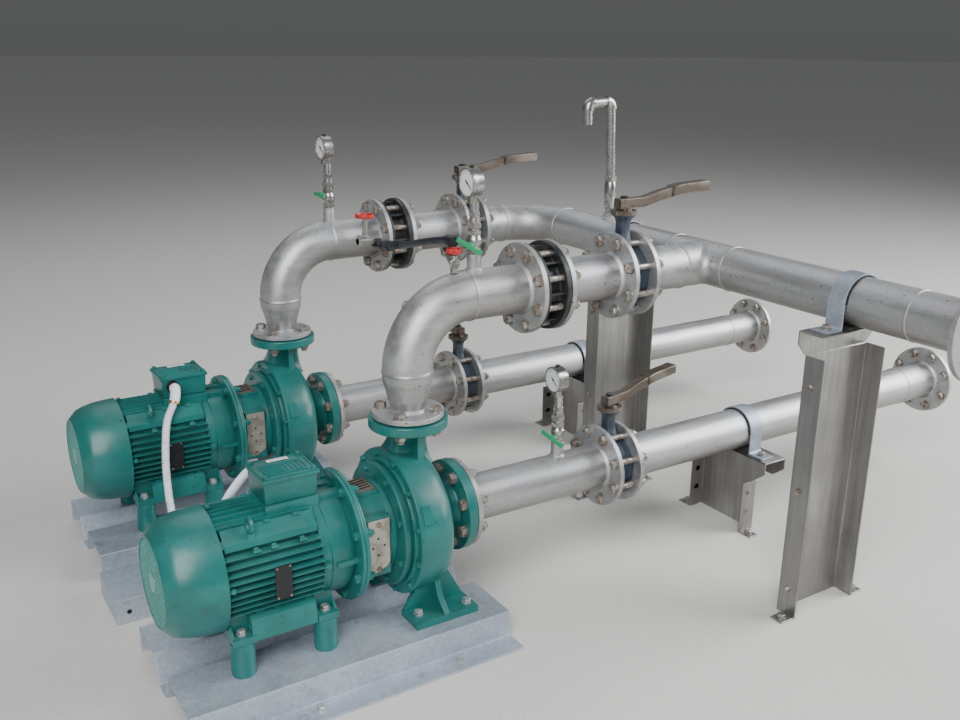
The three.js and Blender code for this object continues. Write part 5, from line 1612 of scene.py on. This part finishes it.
for label, place, radius, bonnet_top, back, reach in (
        ("near", near_place, 18, BONNET_TOP, 14, 56),
        ("far", far_place, 28, BONNET_TOP + FAR_STEM, 24, 24)):
    form = Form().spun("y", [(-back, 10), (-back + 2, 12), (reach - 2, 12), (reach, 10)], sides=36)
    nut(form, -back, -back + 10, 22, axis="y")
    nut(form, reach - 11, reach, 22, axis="y")
    form.spun("z", [(0, 8), (bonnet_top - 7, 8), (bonnet_top - 6, 5), (bonnet_top, 5)], sides=28)
    nut(form, 10, 18, 19)
    if label == "near":
        form.rod("z", -22.4, 0, 9, sides=28)
    else:
        form.rod("x", -41.5, 0, 10, sides=28)
    form.moved(place).piece(f"{label}_small_valve", fitting_steel, ORIGIN, "stainless_fitting",
               replaces=[f"{label}_stop_valve"], soften=0.4)
    wheel_shape(radius, bonnet_top, 4 if label == "near" else 5).moved(place).piece(
        f"{label}_red_wheel", red_moulding, ORIGIN, "red_plastic", body=f"{label}_handwheel",
        replaces=[f"{label}_handwheel"], soften=0.5)
BYPASS = [(140.5, 41, 905), (144, 60, 903), (165, 100, 895), (192, 240, 866), (215, 380, 833),
          (240, 544, 798), (258, 620, 784), (263, 640, 782)]
route = drawn_through(BYPASS, 8)
hose = Form().swept(route, 9, sides=24)
for points, radii, sides in (
        ([(253, 592, 789), (252.4, 589, 789.5), (241.6, 543, 798), (241, 540, 798.5)],
         [13.5, 15, 15, 13.5], 12),
        ([(243, 550, 797), (226, 450, 820), (225, 446, 821)], [12.5, 12, 10], 24)):
    hose.swept([Vector(p) for p in points], radii, sides)
hose.piece("bypass_hose", hose_black, ORIGIN, "black_plastic", replaces=["bypass_pipe"], sharp=40)
form = Form()
x, y, z = BYPASS[0]
form.rod("z", PIPE_LEVEL + 91.3, z + 10, 10, at(x, y, 0), sides=28)
form.spun("y", [
    (y - 9, 11), (y - 4, 13), (y + 22, 13), (y + 26, 10)],
    at(x + 1, 0, z - 1), sides=12)
x, y, z = BYPASS[-1]
form.spun("x", [
    (248.3, 12), (x + 10, 12), (x + 12, 10)], at(0, FAR_VALVE_Y, PIPE_LEVEL), sides=28)
form.spun("y", [
    (PITCH - 139, 10), (PITCH - 135, 12.5), (PITCH - 99, 12.5), (PITCH - 95, 10)],
    at(x, 0, z), sides=12)
form.piece("bypass_fittings", black_plastic, ORIGIN, "black_plastic", soften=0.6)

# Cable duct. A galvanised sheet cover between the two base plates, folded down on both sides,
# closed at its end, with a punched tab on its near side and a gland for each conduit in its lid.
DUCT_START, DUCT_END, DUCT_NEAR, DUCT_FAR, DUCT_TOP, DUCT_SHEET = -615, -300, 326, 490, 64, 3
DUCT_GLANDS = [(-399, 398), (-399, 452)]
form = Form().pushed("x", folded([
    (DUCT_NEAR, 0), (DUCT_NEAR, DUCT_TOP), (DUCT_FAR, DUCT_TOP), (DUCT_FAR, 0)], DUCT_SHEET),
    DUCT_START, DUCT_END)
form.block((DUCT_START, DUCT_NEAR + 0.5, 0.5),
           (DUCT_START + DUCT_SHEET, DUCT_FAR - 0.5, DUCT_TOP - 0.5))
form.piece("folded_duct", zinc_sheet, ORIGIN, "galvanised_sheet", replaces=["cable_duct"],
    soften=1.6, sharp=20)
tab = Form().block((-599, 323.6, 16), (-571, 326.2, 48))
tab.piece("duct_tab", zinc_sheet, ORIGIN, "galvanised_sheet", soften=0.5)
# Painted shade: a dark disc on the tab stands for the shade in its punched hole.
hole = Form().rod("y", 323.2, 324, 6, at(-585, 0, 32), sides=28)
hole.piece("duct_tab_hole_shade", gap_shade, ORIGIN, "galvanised_sheet")
form = Form()
for x, y in DUCT_GLANDS:
    lay = at(x, y, 0)
    nut(form, DUCT_TOP, DUCT_TOP + 7, 26, lay)
    form.spun("z", [(DUCT_TOP + 6, 12), (DUCT_TOP + 14, 13.5), (DUCT_TOP + 20, 12)], lay, sides=32)
form.piece("duct_glands", black_plastic, ORIGIN, "black_plastic", soften=0.4)
